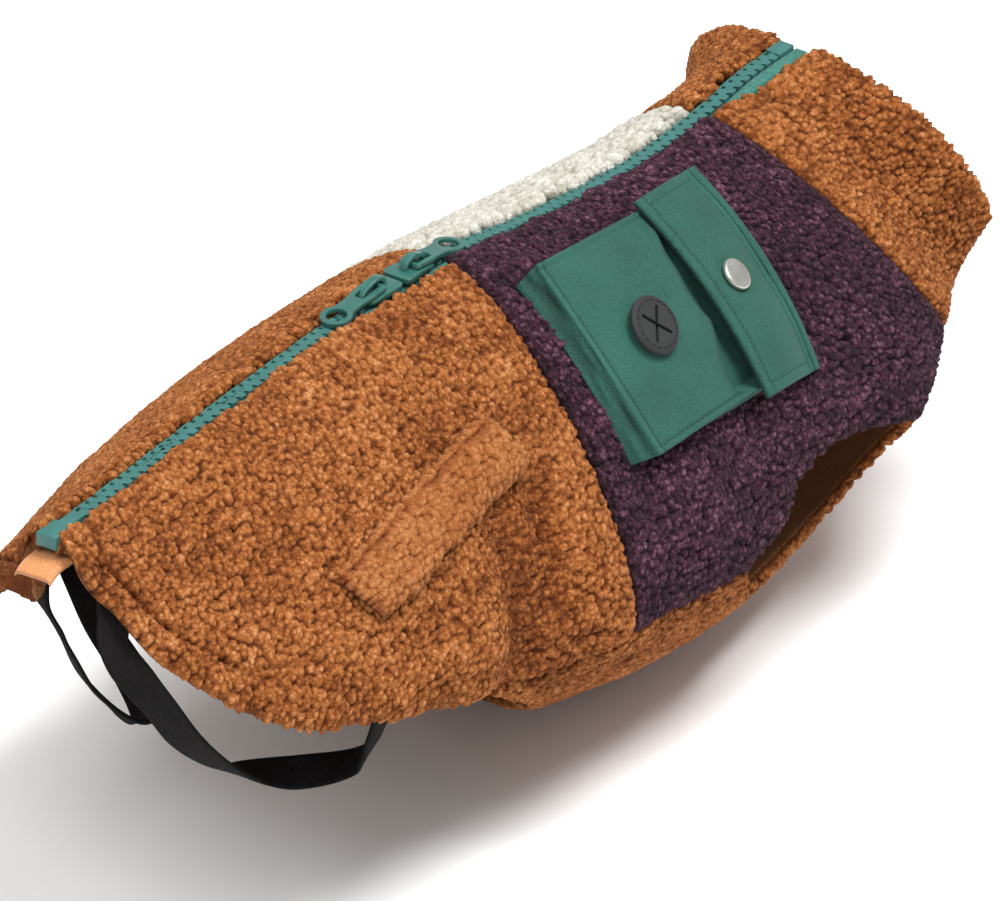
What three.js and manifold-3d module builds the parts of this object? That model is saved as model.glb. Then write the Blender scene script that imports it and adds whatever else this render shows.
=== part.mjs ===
// Dog coat in curly fleece, in the hollow form it takes when worn, with nobody in it.
// Millimetres. +X is towards the head, +Y the wearer's left, +Z up.
// The origin is the inner face of the back, on the zip line, at the withers.
import * as THREE from "three";
import { mergeVertices } from "three/addons/utils/BufferGeometryUtils.js";
import Module from "manifold-3d";

const wasm = await Module();
wasm.setup();

// ---- Driving dimensions ----
const FLEECE = 4; // thickness of the fleece, pile and knit together
const SEAM = 0.4; // gap between two pieces at a seam
const REST = 0.35; // gap between a piece and what it lies on
const BACK_FLAT = 5; // half-width of the flat strip that the zip makes along the back
const TAIL_X = -174; // tail end of the back panels
const SEAM_X = 0; // seam between the rear panels and the shoulder panels
const COLLAR_X = 127; // seam between the shoulder panels and the collar
const RIM_X = 173; // rim of the collar

// One row for each section across the body, from the tail to the collar's rim: x and z of its top on the
// zip line, its pitch in degrees (its lower end leans forward), its half-width, the drop from the top to its
// widest point, the drop from there to the belly, and how full the upper and the lower curve are.
const SECTION_COLUMNS = ["x", "z", "pitch", "half", "upper", "lower", "upperFull", "lowerFull"];
const SECTIONS = [
  [-200, -6.5, -9, 49, 73, 42, 1.2, 1.95],
  [-150, -3.5, -9, 56, 72, 45, 1.22, 1.95],
  [-100, 0.8, -10, 65, 69, 46, 1.3, 1.95],
  [-50, 3.8, -8, 70, 75, 48, 1.4, 1.95],
  [0, 4.0, -5, 75, 86, 51, 1.42, 1.95],
  [50, -2.5, 7, 74, 86, 58, 1.55, 1.88],
  [95, -5.8, 27, 72, 86, 43, 1.42, 1.8],
  [127, -4.0, 31, 60, 78, 30, 1.4, 1.8],
  [150, -0.5, 30, 47.5, 80, 24, 1.6, 1.8],
  [175, 0.5, 28, 53, 60, 15, 2.1, 1.8],
];

// Drape folds: side (-1 right, 1 left), start and end as station x and girth v, height out of the surface
// (a trough is negative) and half-width.
const FOLDS = [
  { side: -1, from: [-40, 72], to: [-42, 118], height: -4.5, half: 8 },
  { side: -1, from: [-24, 74], to: [-30, 104], height: -3.5, half: 6 },
  { side: -1, from: [-62, 96], to: [-60, 112], height: 3.0, half: 9 },
  { side: -1, from: [-150, 62], to: [-118, 84], height: 2.0, half: 11 },
  { side: -1, from: [-14, 96], to: [-8, 122], height: 2.5, half: 9 },
  { side: -1, from: [30, 96], to: [34, 122], height: 1.8, half: 10 },
  { side: -1, from: [42, 52], to: [76, 55], height: -4.2, half: 15 },
  { side: 1, from: [-46, 70], to: [-38, 116], height: -4.0, half: 8 },
  { side: 1, from: [-72, 92], to: [-66, 112], height: 2.6, half: 9 },
  { side: 1, from: [-16, 92], to: [-12, 120], height: 2.4, half: 9 },
  { side: 1, from: [36, 92], to: [30, 120], height: 2.0, half: 10 },
  { side: 1, from: [-190, 24], to: [-171, 25], height: -13, half: 11 },
];

// Edges of the pieces on the right half, as station x and girth v from the zip line. The left half mirrors them.
const REAR_HEM = [
  [TAIL_X, 14], [-173, 22], [-169, 30.5], [-163, 46.5], [-154, 60.3], [-142, 74.5],
  [-129, 86.5], [-112, 97], [-90.6, 108], [-69.7, 117], [-52, 124],
];
const FLANK_SEAM = [[-52, 124], [-30, 129], [SEAM_X, 129]];
const SHOULDER_SEAM = [[SEAM_X, 129], [22, 129.6], [43, 131.5]];
const ARMHOLE_UPPER = [
  [43, 131.5], [49.5, 127], [55.5, 121.5], [61, 112.5], [69, 110], [77, 110], [86, 115.5], [94, 124], [99, 131],
];
const CHEST_SEAM = [[99, 131], [113, 133], [COLLAR_X, 136]];
const ARMHOLE_LOWER = [[43, 131.5], [44, 142], [51, 154], [64, 160], [80, 158], [93, 147], [99, 131]];
const BELLY_HEM = [[-52, 124], [-35, 139.5], [-15, 158], [0, 188], [6, 219]];

const COLORS = {
  caramel: 0xa5653a,
  plum: 0x482b36,
  cream: 0xdcd9ca,
  green: 0x3d6f61,
  zip: 0x4b877d,
  black: 0x292423,
  rubber: 0x373a3b,
  steel: 0x9da094,
  backing: 0xd08a4f,
};

// ---- The form of the body ----
const RING_STEPS = 96;
const mix = (a, b, t) => a + (b - a) * t;
const clamp = (value, low, high) => Math.min(high, Math.max(low, value));
function smooth(low, high, value) {
  const t = clamp((value - low) / (high - low), 0, 1);
  return t * t * (3 - 2 * t);
}

// A section at any station, by cubic curves through the table's rows.
function sectionAt(x) {
  let i = SECTIONS.findIndex((row, k) => k > 0 && x <= row[0]) - 1;
  if (i < 0) i = x < SECTIONS[0][0] ? 0 : SECTIONS.length - 2;
  const span = SECTIONS[i + 1][0] - SECTIONS[i][0];
  const t = (x - SECTIONS[i][0]) / span;
  const slope = (k, c) => {
    const before = SECTIONS[Math.max(k - 1, 0)];
    const after = SECTIONS[Math.min(k + 1, SECTIONS.length - 1)];
    return ((after[c] - before[c]) / (after[0] - before[0])) * span;
  };
  const section = {};
  SECTION_COLUMNS.forEach((name, c) => {
    section[name] =
      (2 * t ** 3 - 3 * t ** 2 + 1) * SECTIONS[i][c] +
      (t ** 3 - 2 * t ** 2 + t) * slope(i, c) +
      (-2 * t ** 3 + 3 * t ** 2) * SECTIONS[i + 1][c] +
      (t ** 3 - t ** 2) * slope(i + 1, c);
  });
  return section;
}

// Half of the ring at a station: its points from the zip line down to the belly, and the girth at each.
const rings = new Map();
function ringAt(x) {
  const key = Math.round(x * 100);
  if (rings.has(key)) return rings.get(key);
  const s = sectionAt(x);
  const pitch = THREE.MathUtils.degToRad(s.pitch);
  const outline = [[0, 0], [BACK_FLAT, 0]];
  for (let i = 1; i <= RING_STEPS; i++) {
    const angle = (i / RING_STEPS) * Math.PI;
    const upper = angle <= Math.PI / 2;
    const power = 2 / (upper ? s.upperFull : s.lowerFull);
    const across = Math.max(Math.sin(angle), 0) ** power;
    const down = Math.abs(Math.cos(angle)) ** power;
    outline.push(
      upper
        ? [BACK_FLAT + (s.half - BACK_FLAT) * across, s.upper * (1 - down)]
        : [s.half * across, s.upper + s.lower * down],
    );
  }
  const points = outline.map(
    ([y, drop]) => new THREE.Vector3(x + drop * Math.sin(pitch), y, s.z - drop * Math.cos(pitch)),
  );
  const girth = [0];
  for (let i = 1; i < points.length; i++) girth.push(girth[i - 1] + points[i].distanceTo(points[i - 1]));
  const ring = { points, girth, half: girth[girth.length - 1] };
  rings.set(key, ring);
  return ring;
}
const halfGirth = (x) => ringAt(x).half;

// The plain surface point at station x and girth v, where v is negative on the wearer's right. Past the belly
// line v carries on up the other side.
function surfacePoint(x, v) {
  const { points, girth, half } = ringAt(x);
  let side = v < 0 ? -1 : 1;
  let along = Math.abs(v);
  if (along > half) {
    along = 2 * half - along;
    side = -side;
  }
  let low = 0;
  let high = girth.length - 1;
  while (high - low > 1) {
    const middle = (low + high) >> 1;
    if (girth[middle] <= along) low = middle;
    else high = middle;
  }
  const point = points[low]
    .clone()
    .lerp(points[high], clamp((along - girth[low]) / (girth[high] - girth[low]), 0, 1));
  point.y *= side;
  return point;
}

// The outward direction there. It is square to the zip line near the zip.
function outward(x, v) {
  const step = 1.5;
  const alongX = surfacePoint(x + step, v).sub(surfacePoint(x - step, v));
  const alongV = surfacePoint(x, v + step).sub(surfacePoint(x, v - step));
  const normal = alongX.cross(alongV).normalize();
  const spine = surfacePoint(x + step, 0).sub(surfacePoint(x - step, 0));
  const up = new THREE.Vector3(-spine.z, 0, spine.x).normalize();
  return up.lerp(normal, smooth(6, 20, Math.abs(v))).normalize();
}

// How far the drape folds push the cloth out at (x, v).
function foldHeight(x, v) {
  let height = 0;
  const side = v < 0 ? -1 : 1;
  for (const fold of FOLDS) {
    if (fold.side !== side) continue;
    const [x0, v0] = fold.from;
    const [x1, v1] = fold.to;
    const [dx, dv] = [x1 - x0, v1 - v0];
    const t = clamp(((x - x0) * dx + (Math.abs(v) - v0) * dv) / (dx * dx + dv * dv), 0, 1);
    const away = Math.hypot(x - x0 - dx * t, Math.abs(v) - v0 - dv * t) / fold.half;
    height += fold.height * Math.exp(-away * away);
  }
  return height;
}

// A point of the coat: lift is measured out from the outer face of the fleece.
function coatPoint(x, v, lift = 0) {
  return surfacePoint(x, v).addScaledVector(outward(x, v), lift + foldHeight(x, v));
}

// The station whose ring passes through a given x at girth v, because pitched rings lean forward.
function stationAt(x, v) {
  let station = x;
  for (let i = 0; i < 8; i++) station += x - surfacePoint(station, v).x;
  return station;
}

// ---- Geometry helpers ----
function geometryFrom(points, triangles) {
  const geometry = new THREE.BufferGeometry();
  geometry.setAttribute("position", new THREE.Float32BufferAttribute(points.flatMap((p) => [p.x, p.y, p.z]), 3));
  geometry.setIndex(triangles);
  return geometry;
}

// A closed sheet between an outer and an inner grid of points, each (rows + 1) by (columns + 1).
function sheet(rows, columns, outer, inner) {
  const points = [];
  const triangles = [];
  const width = columns + 1;
  for (const face of [outer, inner])
    for (let i = 0; i <= rows; i++) for (let j = 0; j <= columns; j++) points.push(face(i / rows, j / columns, i, j));
  const half = (rows + 1) * width;
  const quad = (a, b, c, d) => triangles.push(a, b, c, a, c, d);
  for (let i = 0; i < rows; i++)
    for (let j = 0; j < columns; j++) {
      const a = i * width + j;
      quad(a, a + width, a + width + 1, a + 1);
      quad(half + a, half + a + 1, half + a + width + 1, half + a + width);
    }
  const wall = (a, b) => quad(a, b, half + b, half + a);
  for (let j = 0; j < columns; j++) {
    wall(j, j + 1);
    wall(rows * width + j + 1, rows * width + j);
  }
  for (let i = 0; i < rows; i++) {
    wall((i + 1) * width, i * width);
    wall(i * width + columns, (i + 1) * width + columns);
  }
  const geometry = geometryFrom(points, triangles);
  return volumeOf(geometry) < 0 ? turned(geometry) : geometry;
}

function volumeOf(geometry) {
  const p = geometry.attributes.position;
  const index = geometry.index.array;
  const [a, b, c] = [new THREE.Vector3(), new THREE.Vector3(), new THREE.Vector3()];
  let six = 0;
  for (let i = 0; i < index.length; i += 3) {
    a.fromBufferAttribute(p, index[i]);
    b.fromBufferAttribute(p, index[i + 1]);
    c.fromBufferAttribute(p, index[i + 2]);
    six += a.dot(b.cross(c));
  }
  return six / 6;
}

function turned(geometry) {
  const index = geometry.index.array;
  for (let i = 0; i < index.length; i += 3) [index[i + 1], index[i + 2]] = [index[i + 2], index[i + 1]];
  return geometry;
}

// A piece of cloth on the coat's form: place(s, t) gives its station and girth, and its two faces lie at
// the lifts top and bottom, which may be functions of (s, t).
function clothPiece(rows, columns, place, top = 0, bottom = -FLEECE) {
  const level = (lift, s, t) => (typeof lift === "function" ? lift(s, t) : lift);
  const face = (lift) => (s, t) => {
    const [x, v] = place(s, t);
    return coatPoint(x, v, level(lift, s, t));
  };
  return sheet(rows, columns, face(top), face(bottom));
}

// A smooth path through the rows of an edge table, by its length.
function edge(...tables) {
  const curves = tables.map((table) => new THREE.SplineCurve(table.map(([x, v]) => new THREE.Vector2(x, v))));
  const lengths = curves.map((curve) => curve.getLength());
  const total = lengths.reduce((sum, length) => sum + length, 0);
  return (t) => {
    let along = clamp(t, 0, 1) * total;
    for (let i = 0; i < curves.length; i++) {
      if (along <= lengths[i] || i === curves.length - 1) {
        const p = curves[i].getPointAt(clamp(along / lengths[i], 0, 1));
        return [p.x, p.y];
      }
      along -= lengths[i];
    }
  };
}

function solidFrom(geometry) {
  const plain = geometry.index ? geometry.toNonIndexed() : geometry.clone();
  plain.deleteAttribute("normal");
  plain.deleteAttribute("uv");
  const merged = mergeVertices(plain, 1e-4);
  return new wasm.Manifold(
    new wasm.Mesh({
      numProp: 3,
      vertProperties: merged.attributes.position.array,
      triVerts: new Uint32Array(merged.index.array),
    }),
  );
}

function geometryOf(solid) {
  const mesh = solid.getMesh();
  const geometry = new THREE.BufferGeometry();
  geometry.setAttribute("position", new THREE.BufferAttribute(new Float32Array(mesh.vertProperties), 3));
  geometry.setIndex(new THREE.BufferAttribute(new Uint32Array(mesh.triVerts), 1));
  return geometry;
}

const joined = (...geometries) => geometryOf(geometries.map(solidFrom).reduce((a, b) => a.add(b)));
const cutFrom = (geometry, ...cutters) =>
  geometryOf(cutters.map(solidFrom).reduce((a, b) => a.subtract(b), solidFrom(geometry)));

// A flat plate with a drawn outline, between two heights.
const cleanPoints = (path, steps) => {
  const points = path.getPoints(steps);
  return points.filter((point, i) => point.distanceTo(points[(i + 1) % points.length]) > 0.01);
};
function plateFrom(outline, low, high, steps = 6) {
  const shape = new THREE.Shape(cleanPoints(outline, steps));
  return new THREE.ExtrudeGeometry(shape, { depth: high - low, bevelEnabled: false }).translate(0, 0, low);
}

// A box between two corners.
function boxBetween(x0, x1, y0, y1, z0, z1) {
  const box = new THREE.BoxGeometry(x1 - x0, y1 - y0, z1 - z0);
  return box.translate((x0 + x1) / 2, (y0 + y1) / 2, (z0 + z1) / 2);
}

// ---- The scene graph ----
const coat = new THREE.Group();
const finish = {
  caramel: { color: COLORS.caramel, roughness: 0.95, metalness: 0 },
  plum: { color: COLORS.plum, roughness: 0.95, metalness: 0 },
  cream: { color: COLORS.cream, roughness: 0.95, metalness: 0 },
  green: { color: COLORS.green, roughness: 0.8, metalness: 0 },
  zip: { color: COLORS.zip, roughness: 0.45, metalness: 0 },
  black: { color: COLORS.black, roughness: 0.85, metalness: 0 },
  rubber: { color: COLORS.rubber, roughness: 0.6, metalness: 0 },
  steel: { color: COLORS.steel, roughness: 0.3, metalness: 0.9 },
  backing: { color: COLORS.backing, roughness: 0.85, metalness: 0 },
};
function add(name, geometry, material, parent = coat) {
  const mesh = new THREE.Mesh(geometry, new THREE.MeshStandardMaterial(finish[material]));
  mesh.name = name;
  parent.add(mesh);
  return mesh;
}

// ---- Fleece panels ----
const FLEECE_EDGE = 6.6; // girth at which the fleece starts beside the zip
const COLLAR_OPEN = 3.2; // how much wider the zip strip is at the right of the collar
const zipEdge = (x, side) => FLEECE_EDGE + (side < 0 ? COLLAR_OPEN * smooth(124, 146, x) : 0);

// A back panel between the zip and its lower edge, over the stations from x0 to x1.
function backPanel(side, x0, x1, rows, columns, lowerEdge) {
  return clothPiece(rows, columns, (s, t) => {
    const top = [mix(x0, x1, s), zipEdge(mix(x0, x1, s), side)];
    const [x, v] = lowerEdge(s);
    const low = [clamp(x, x0, x1), v - SEAM / 2];
    return [mix(top[0], low[0], t), side * mix(top[1], low[1], t)];
  });
}
const rearEdge = edge(REAR_HEM, FLANK_SEAM);
const shoulderEdge = edge(SHOULDER_SEAM, ARMHOLE_UPPER, CHEST_SEAM);
const half = SEAM / 2;
for (const [side, sideName] of [[-1, "right"], [1, "left"]]) {
  const rear = backPanel(side, TAIL_X, SEAM_X - half, 24, 13, rearEdge);
  add("rear_panel_" + sideName, rear, "caramel");
  const shoulder = backPanel(side, SEAM_X + half, COLLAR_X - half, 20, 13, shoulderEdge);
  add("shoulder_panel_" + sideName, shoulder, side < 0 ? "plum" : "cream");
}

// The belly and chest panel runs from the right side seam under the body to the left one.
const sideEdge = edge(FLANK_SEAM, SHOULDER_SEAM, ARMHOLE_LOWER, CHEST_SEAM);
const bellyHem = edge(BELLY_HEM);
function bellyPlace(s, t) {
  const across = 2 * t - 1;
  const inwards = 1 - Math.abs(across);
  const [sideX, sideV] = sideEdge(s);
  const [hemX] = bellyHem(inwards);
  const [, hemV] = bellyHem(inwards);
  const frontX = COLLAR_X - half;
  const centreX = mix(BELLY_HEM[BELLY_HEM.length - 1][0], frontX, s);
  const ruledX = mix(Math.min(sideX, frontX), centreX, inwards);
  const bow = hemX - mix(BELLY_HEM[0][0], BELLY_HEM[BELLY_HEM.length - 1][0], inwards);
  const x = ruledX + bow * (1 - s) ** 3;
  const share = inwards + ((hemV - BELLY_HEM[0][1]) / (BELLY_HEM.at(-1)[1] - BELLY_HEM[0][1]) - inwards) * (1 - s) ** 3;
  const v = mix(sideV + half, halfGirth(x), share);
  return [x, across < 0 ? -v : v];
}
add("belly_panel", clothPiece(26, 24, bellyPlace), "caramel");

// The collar is one band round the neck, open at the zip.
function collarPlace(s, t) {
  const across = 2 * t - 1;
  const x = mix(COLLAR_X + half, RIM_X, s);
  const start = zipEdge(x, across < 0 ? -1 : 1);
  const v = mix(start, halfGirth(x), 1 - Math.abs(across));
  return [x, across < 0 ? -v : v];
}
add("collar", clothPiece(6, 40, collarPlace), "caramel");

// A folded welt is sewn over the right flank along its upper edge and its ends; its lower edge stands free.
const WELT = { upper: [[-103, 59.5], [-32, 48.2]], lower: [[-92.5, 77.8], [-24.5, 67]], stitched: 3.6, free: 5.2 };
const weltTop = (s, t) => REST + mix(WELT.stitched, WELT.free, t);
const weltBottom = (s, t) => mix(REST, 1.4, t);
add(
  "flank_welt",
  clothPiece(
    14,
    4,
    (s, t) => [
      mix(mix(WELT.upper[0][0], WELT.upper[1][0], s), mix(WELT.lower[0][0], WELT.lower[1][0], s), t),
      -mix(mix(WELT.upper[0][1], WELT.upper[1][1], s), mix(WELT.lower[0][1], WELT.lower[1][1], s), t),
    ],
    weltTop,
    weltBottom,
  ),
  "caramel",
);

// ---- Zip ----
const ZIP = {
  tailX: -167.5, headX: 163.5, // the chain between its end stops
  chainHalf: 2.45, chainTop: -0.9, chainBottom: -3.7,
  tapeTop: -1.9, tapeThick: 0.8, tapeInner: 2.75, tapeOuter: 14,
  boxX: -175.5, boxHalf: 3.4, pinHalf: 2.2, pinX: -161,
  stopX: 170.8, stopHalf: 2.6,
};
const UNDER = -FLEECE - 0.9; // level of the tape's face under the fleece
for (const [side, sideName] of [[-1, "right"], [1, "left"]]) {
  const span = (x) => [ZIP.tapeInner, zipEdge(x, side) - 1.6, zipEdge(x, side) - 0.5, ZIP.tapeOuter + zipEdge(x, side) - FLEECE_EDGE];
  const place = (s, t) => {
    const x = mix(ZIP.tailX + REST, RIM_X - 1.5, s);
    const stops = span(x);
    const k = Math.min(2, Math.floor(t * 3));
    return [x, side * mix(stops[k], stops[k + 1], t * 3 - k)];
  };
  const top = (s, t) => mix(ZIP.tapeTop, UNDER, clamp(t * 3 - 1, 0, 1));
  const bottom = (s, t) => top(s, t) - ZIP.tapeThick;
  add("zip_tape_" + sideName, clothPiece(48, 3, place, top, bottom), "zip");
}

// Each slider is built nose towards +X at its own origin on the zip line, and its mirror faces the other way.
const SLIDER = {
  length: 14, noseX: -21.3, gap: 1.6, half: 4.9, lipHalf: 3.25,
  plateTop: 1.1, plateBottom: ZIP.chainTop + REST, underTop: ZIP.chainBottom - REST, underBottom: -5.9,
  lipDrop: 0.75, wedge: 2.2,
  bridgeHalf: 1.25, bridgeTop: 4.4, bridgeUnder: 2.95, bridgeFrom: -4.2, bridgeTo: -14, postLength: 1.4,
  slopeFrom: -6, slope: THREE.MathUtils.degToRad(5.4), // the upper plate falls away under the tab, towards the tail
};
const TAB = {
  axisX: -6.9, barHalf: 0.65, bottom: SLIDER.plateTop + REST, thick: 1.2,
  length: 23, headHalf: 3.5, waistHalf: 2.7, ringHalf: 4.7, holeHalf: 3.1, windowHalf: 1.75, windowTo: -15.2,
};
function sliderGeometry() {
  const s = SLIDER;
  const plate = new THREE.Shape();
  plate.moveTo(0, -s.half + 1.6);
  plate.quadraticCurveTo(-0.2, -s.half, -2.2, -s.half);
  plate.lineTo(-s.length + 3, -s.half + 0.9);
  plate.quadraticCurveTo(-s.length, -s.half + 1, -s.length, -s.half + 2.6);
  plate.lineTo(-s.length, s.half - 2.6);
  plate.quadraticCurveTo(-s.length, s.half - 1, -s.length + 3, s.half - 0.9);
  plate.lineTo(-2.2, s.half);
  plate.quadraticCurveTo(-0.2, s.half, 0, s.half - 1.6);
  const plateAt = (low, high) => plateFrom(plate, low, high, 4);
  const post = (x0, x1) => boxBetween(x0, x1, -s.bridgeHalf, s.bridgeHalf, s.plateBottom + 0.1, s.bridgeTop);
  const fallAway = boxBetween(-s.length, 0, -s.half - 1, s.half + 1, 0, 3).rotateY(-s.slope);
  return joined(
    cutFrom(plateAt(s.plateBottom, s.plateTop), fallAway.translate(s.slopeFrom, 0, s.plateTop)),
    plateAt(s.underBottom, s.underTop),
    boxBetween(-s.wedge, -0.3, -1.6, 1.6, s.underTop - 0.1, s.plateBottom + 0.1),
    boxBetween(-s.length + 4, -2.4, s.lipHalf, s.half - 0.9, s.plateBottom - s.lipDrop, s.plateBottom + 0.1),
    boxBetween(-s.length + 4, -2.4, -s.half + 0.9, -s.lipHalf, s.plateBottom - s.lipDrop, s.plateBottom + 0.1),
    boxBetween(s.bridgeTo, s.bridgeFrom, -s.bridgeHalf, s.bridgeHalf, s.bridgeUnder, s.bridgeTop),
    post(s.bridgeFrom - s.postLength, s.bridgeFrom),
    post(s.bridgeTo, s.bridgeTo + s.postLength),
  );
}

// The pull tab lies on its slider, its ring down on the teeth: a crossbar under the bridge, a window round it, and
// the ring at the end.
function tabGeometry() {
  const t = TAB;
  const end = t.axisX - t.length;
  const ringX = end + t.ringHalf;
  const outline = new THREE.Shape();
  outline.moveTo(t.axisX + t.barHalf, -t.headHalf + 0.8);
  outline.quadraticCurveTo(t.axisX + t.barHalf, -t.headHalf, t.axisX - 0.6, -t.headHalf);
  outline.lineTo(t.windowTo + 2, -t.headHalf);
  outline.quadraticCurveTo(t.windowTo - 2.5, -t.waistHalf, ringX + 3.4, -t.waistHalf - 0.5);
  outline.quadraticCurveTo(ringX + 1.5, -t.ringHalf, ringX, -t.ringHalf);
  outline.absarc(ringX, 0, t.ringHalf, -Math.PI / 2, Math.PI / 2, true);
  outline.quadraticCurveTo(ringX + 1.5, t.ringHalf, ringX + 3.4, t.waistHalf + 0.5);
  outline.quadraticCurveTo(t.windowTo - 2.5, t.waistHalf, t.windowTo + 2, t.headHalf);
  outline.lineTo(t.axisX - 0.6, t.headHalf);
  outline.quadraticCurveTo(t.axisX + t.barHalf, t.headHalf, t.axisX + t.barHalf, t.headHalf - 0.8);
  const window = new THREE.Path();
  window.moveTo(t.axisX - t.barHalf, -t.windowHalf);
  window.lineTo(t.windowTo + 1, -t.windowHalf);
  window.quadraticCurveTo(t.windowTo, -t.windowHalf, t.windowTo, 0);
  window.quadraticCurveTo(t.windowTo, t.windowHalf, t.windowTo + 1, t.windowHalf);
  window.lineTo(t.axisX - t.barHalf, t.windowHalf);
  const hole = new THREE.Path();
  hole.absarc(ringX, 0, t.holeHalf, 0, Math.PI * 2);
  const top = t.bottom + t.thick, axisZ = t.bottom + t.thick / 2;
  return cutFrom(
    plateFrom(outline, t.bottom, top),
    plateFrom(window, t.bottom - 1, top + 1),
    plateFrom(hole, t.bottom - 1, top + 1),
  ).translate(-t.axisX, 0, -axisZ).rotateY(-SLIDER.slope).translate(t.axisX, 0, axisZ);
}
const zipHeight = (x) => surfacePoint(x, 0).z;
for (const [name, turn, nose] of [
  ["rear", 0, SLIDER.noseX],
  ["front", Math.PI, SLIDER.noseX + SLIDER.gap],
]) {
  const slider = new THREE.Group();
  const tail = nose - SLIDER.length * Math.cos(turn);
  slider.position.set(nose, 0, zipHeight(nose));
  slider.rotation.order = "ZYX";
  slider.rotation.z = turn;
  slider.rotation.y = Math.atan2(zipHeight(tail) - zipHeight(nose), SLIDER.length);
  coat.add(slider);
  add("slider_" + name, sliderGeometry(), "zip", slider);
  add("pull_tab_" + name, tabGeometry(), "zip", slider);
}

// The chain is closed from each slider to its end of the zip.
function zipBar(x0, x1, halfWidth, top, bottom, rows) {
  const place = (s, t) => [mix(x0, x1, s), mix(-halfWidth, halfWidth, t)];
  return clothPiece(rows, 2, place, top, bottom);
}
const wedgeEnd = SLIDER.wedge + REST;
const chain = (x0, x1, rows) => zipBar(x0, x1, ZIP.chainHalf, ZIP.chainTop, ZIP.chainBottom, rows);
add("zip_chain_rear", chain(ZIP.pinX + REST, SLIDER.noseX - wedgeEnd, 26), "zip");
add("zip_chain_front", chain(SLIDER.noseX + SLIDER.gap + wedgeEnd, ZIP.headX - REST, 32), "zip");
add(
  "zip_end_box",
  joined(
    zipBar(ZIP.boxX, ZIP.tailX, ZIP.boxHalf, -0.3, -4.5, 2),
    zipBar(ZIP.tailX - 0.5, ZIP.pinX, ZIP.pinHalf, -0.7, -3.9, 2),
  ),
  "zip",
);
add("zip_top_stop", zipBar(ZIP.headX, ZIP.stopX, ZIP.stopHalf, -0.4, -4.1, 2), "zip");

// A small smooth backing lies under the zip's tail end and hangs out below it.
const BACKING = { x0: -182, x1: -160, half: 6.5, top: -7.3, thick: 1, droopFrom: -176, droop: 0.06 };
const backingTop = (s) => {
  const x = mix(BACKING.x0, BACKING.x1, s);
  return BACKING.top - BACKING.droop * Math.max(0, BACKING.droopFrom - x) ** 2;
};
add(
  "zip_backing",
  clothPiece(
    8,
    6,
    (s, t) => [mix(BACKING.x0, BACKING.x1, s), mix(-BACKING.half, BACKING.half, t)],
    backingTop,
    (s) => backingTop(s) - BACKING.thick,
  ),
  "backing",
);

// ---- Pocket ----
// The bellows pocket stands on the right shoulder panel. Its face is a flat cloth held up by a gusset at the
// tail end and along both sides; it is open towards the head, under the flap.
const CHORD_OUT = new THREE.Vector3(0.02, -0.714, 0.7).normalize();
const POCKET = {
  wall: 1, tailX: 13.3, mouthX: 80, baseTailX: 8.6, baseUpper: 22.5, baseLower: 82.4,
  lean: 1.1, // how far the face bulges nearer its upper edge
  upper: [[13.3, -24.4, 2.4], [66.5, -21.8, -3.9], [80, -21.3, -5.9]],
  lower: [[12.2, -68.2, -44.1], [65.9, -65.6, -46.9], [80, -64.8, -48.4]],
};
// A point on the upper or lower edge of the pocket's face at a given x.
function rail(rows, x) {
  const i = x < rows[1][0] ? 0 : 1;
  const t = (x - rows[i][0]) / (rows[i + 1][0] - rows[i][0]);
  return new THREE.Vector3(...rows[i]).lerp(new THREE.Vector3(...rows[i + 1]), t);
}
// The pocket's face: x towards the head, b from its upper edge (0) to its lower edge (1).
function facePoint(x, b, lift = 0) {
  const sag = mix(0.8, 5.6, smooth(POCKET.tailX, 36, x)) - 1.8 * smooth(44, 70, x);
  const bulge = 4 * b * (1 - b) * (1 + POCKET.lean * (0.5 - b));
  return rail(POCKET.upper, x)
    .lerp(rail(POCKET.lower, x), b)
    .addScaledVector(CHORD_OUT, sag * bulge + lift);
}
function panelPoint(x, v, lift) {
  return coatPoint(stationAt(x, -v), -v, lift);
}
const POCKET_ROWS = 15;
const POCKET_COLUMNS = 16;
function pocketFace(inset) {
  const w = inset * POCKET.wall;
  return (s, t, i, j) => {
    const side = j === 0 ? -1 : j === POCKET_COLUMNS ? 1 : 0;
    const b = clamp((j - 1) / (POCKET_COLUMNS - 2), 0, 1);
    const girth = mix(POCKET.baseUpper + w, POCKET.baseLower - w, b);
    const x = mix(POCKET.tailX + w, POCKET.mouthX, clamp((i - 1) / (POCKET_ROWS - 1), 0, 1));
    if (i === 0) return panelPoint(POCKET.baseTailX + w, girth, REST);
    if (side !== 0) return panelPoint(x, girth, REST);
    const width = rail(POCKET.upper, x).distanceTo(rail(POCKET.lower, x));
    return facePoint(x, mix(w / width, 1 - w / width, b), -w);
  };
}
// A frame on a cloth face: the point, the direction towards the head and the outward normal there.
function frameOn(pointAt, x, b) {
  const head = pointAt(x + 1, b).sub(pointAt(x - 1, b)).normalize();
  const down = pointAt(x, b + 0.02).sub(pointAt(x, b - 0.02)).normalize();
  const out = down.clone().cross(head).normalize();
  if (out.dot(CHORD_OUT) < 0) out.negate();
  return new THREE.Matrix4().makeBasis(head, out.clone().cross(head), out).setPosition(pointAt(x, b));
}
const GROMMET = { x: 35.2, b: 0.5, radius: 8.9, height: 2.0, slit: 11.6, slitWidth: 1.1, hole: 5.6 };
const grommetFrame = frameOn(facePoint, GROMMET.x, GROMMET.b);
const faceHole = new THREE.CylinderGeometry(GROMMET.hole, GROMMET.hole, 6, 24).rotateX(Math.PI / 2);
add(
  "pocket_body",
  cutFrom(
    sheet(POCKET_ROWS, POCKET_COLUMNS, pocketFace(0), pocketFace(1)),
    faceHole.applyMatrix4(grommetFrame),
  ),
  "green",
);

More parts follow.
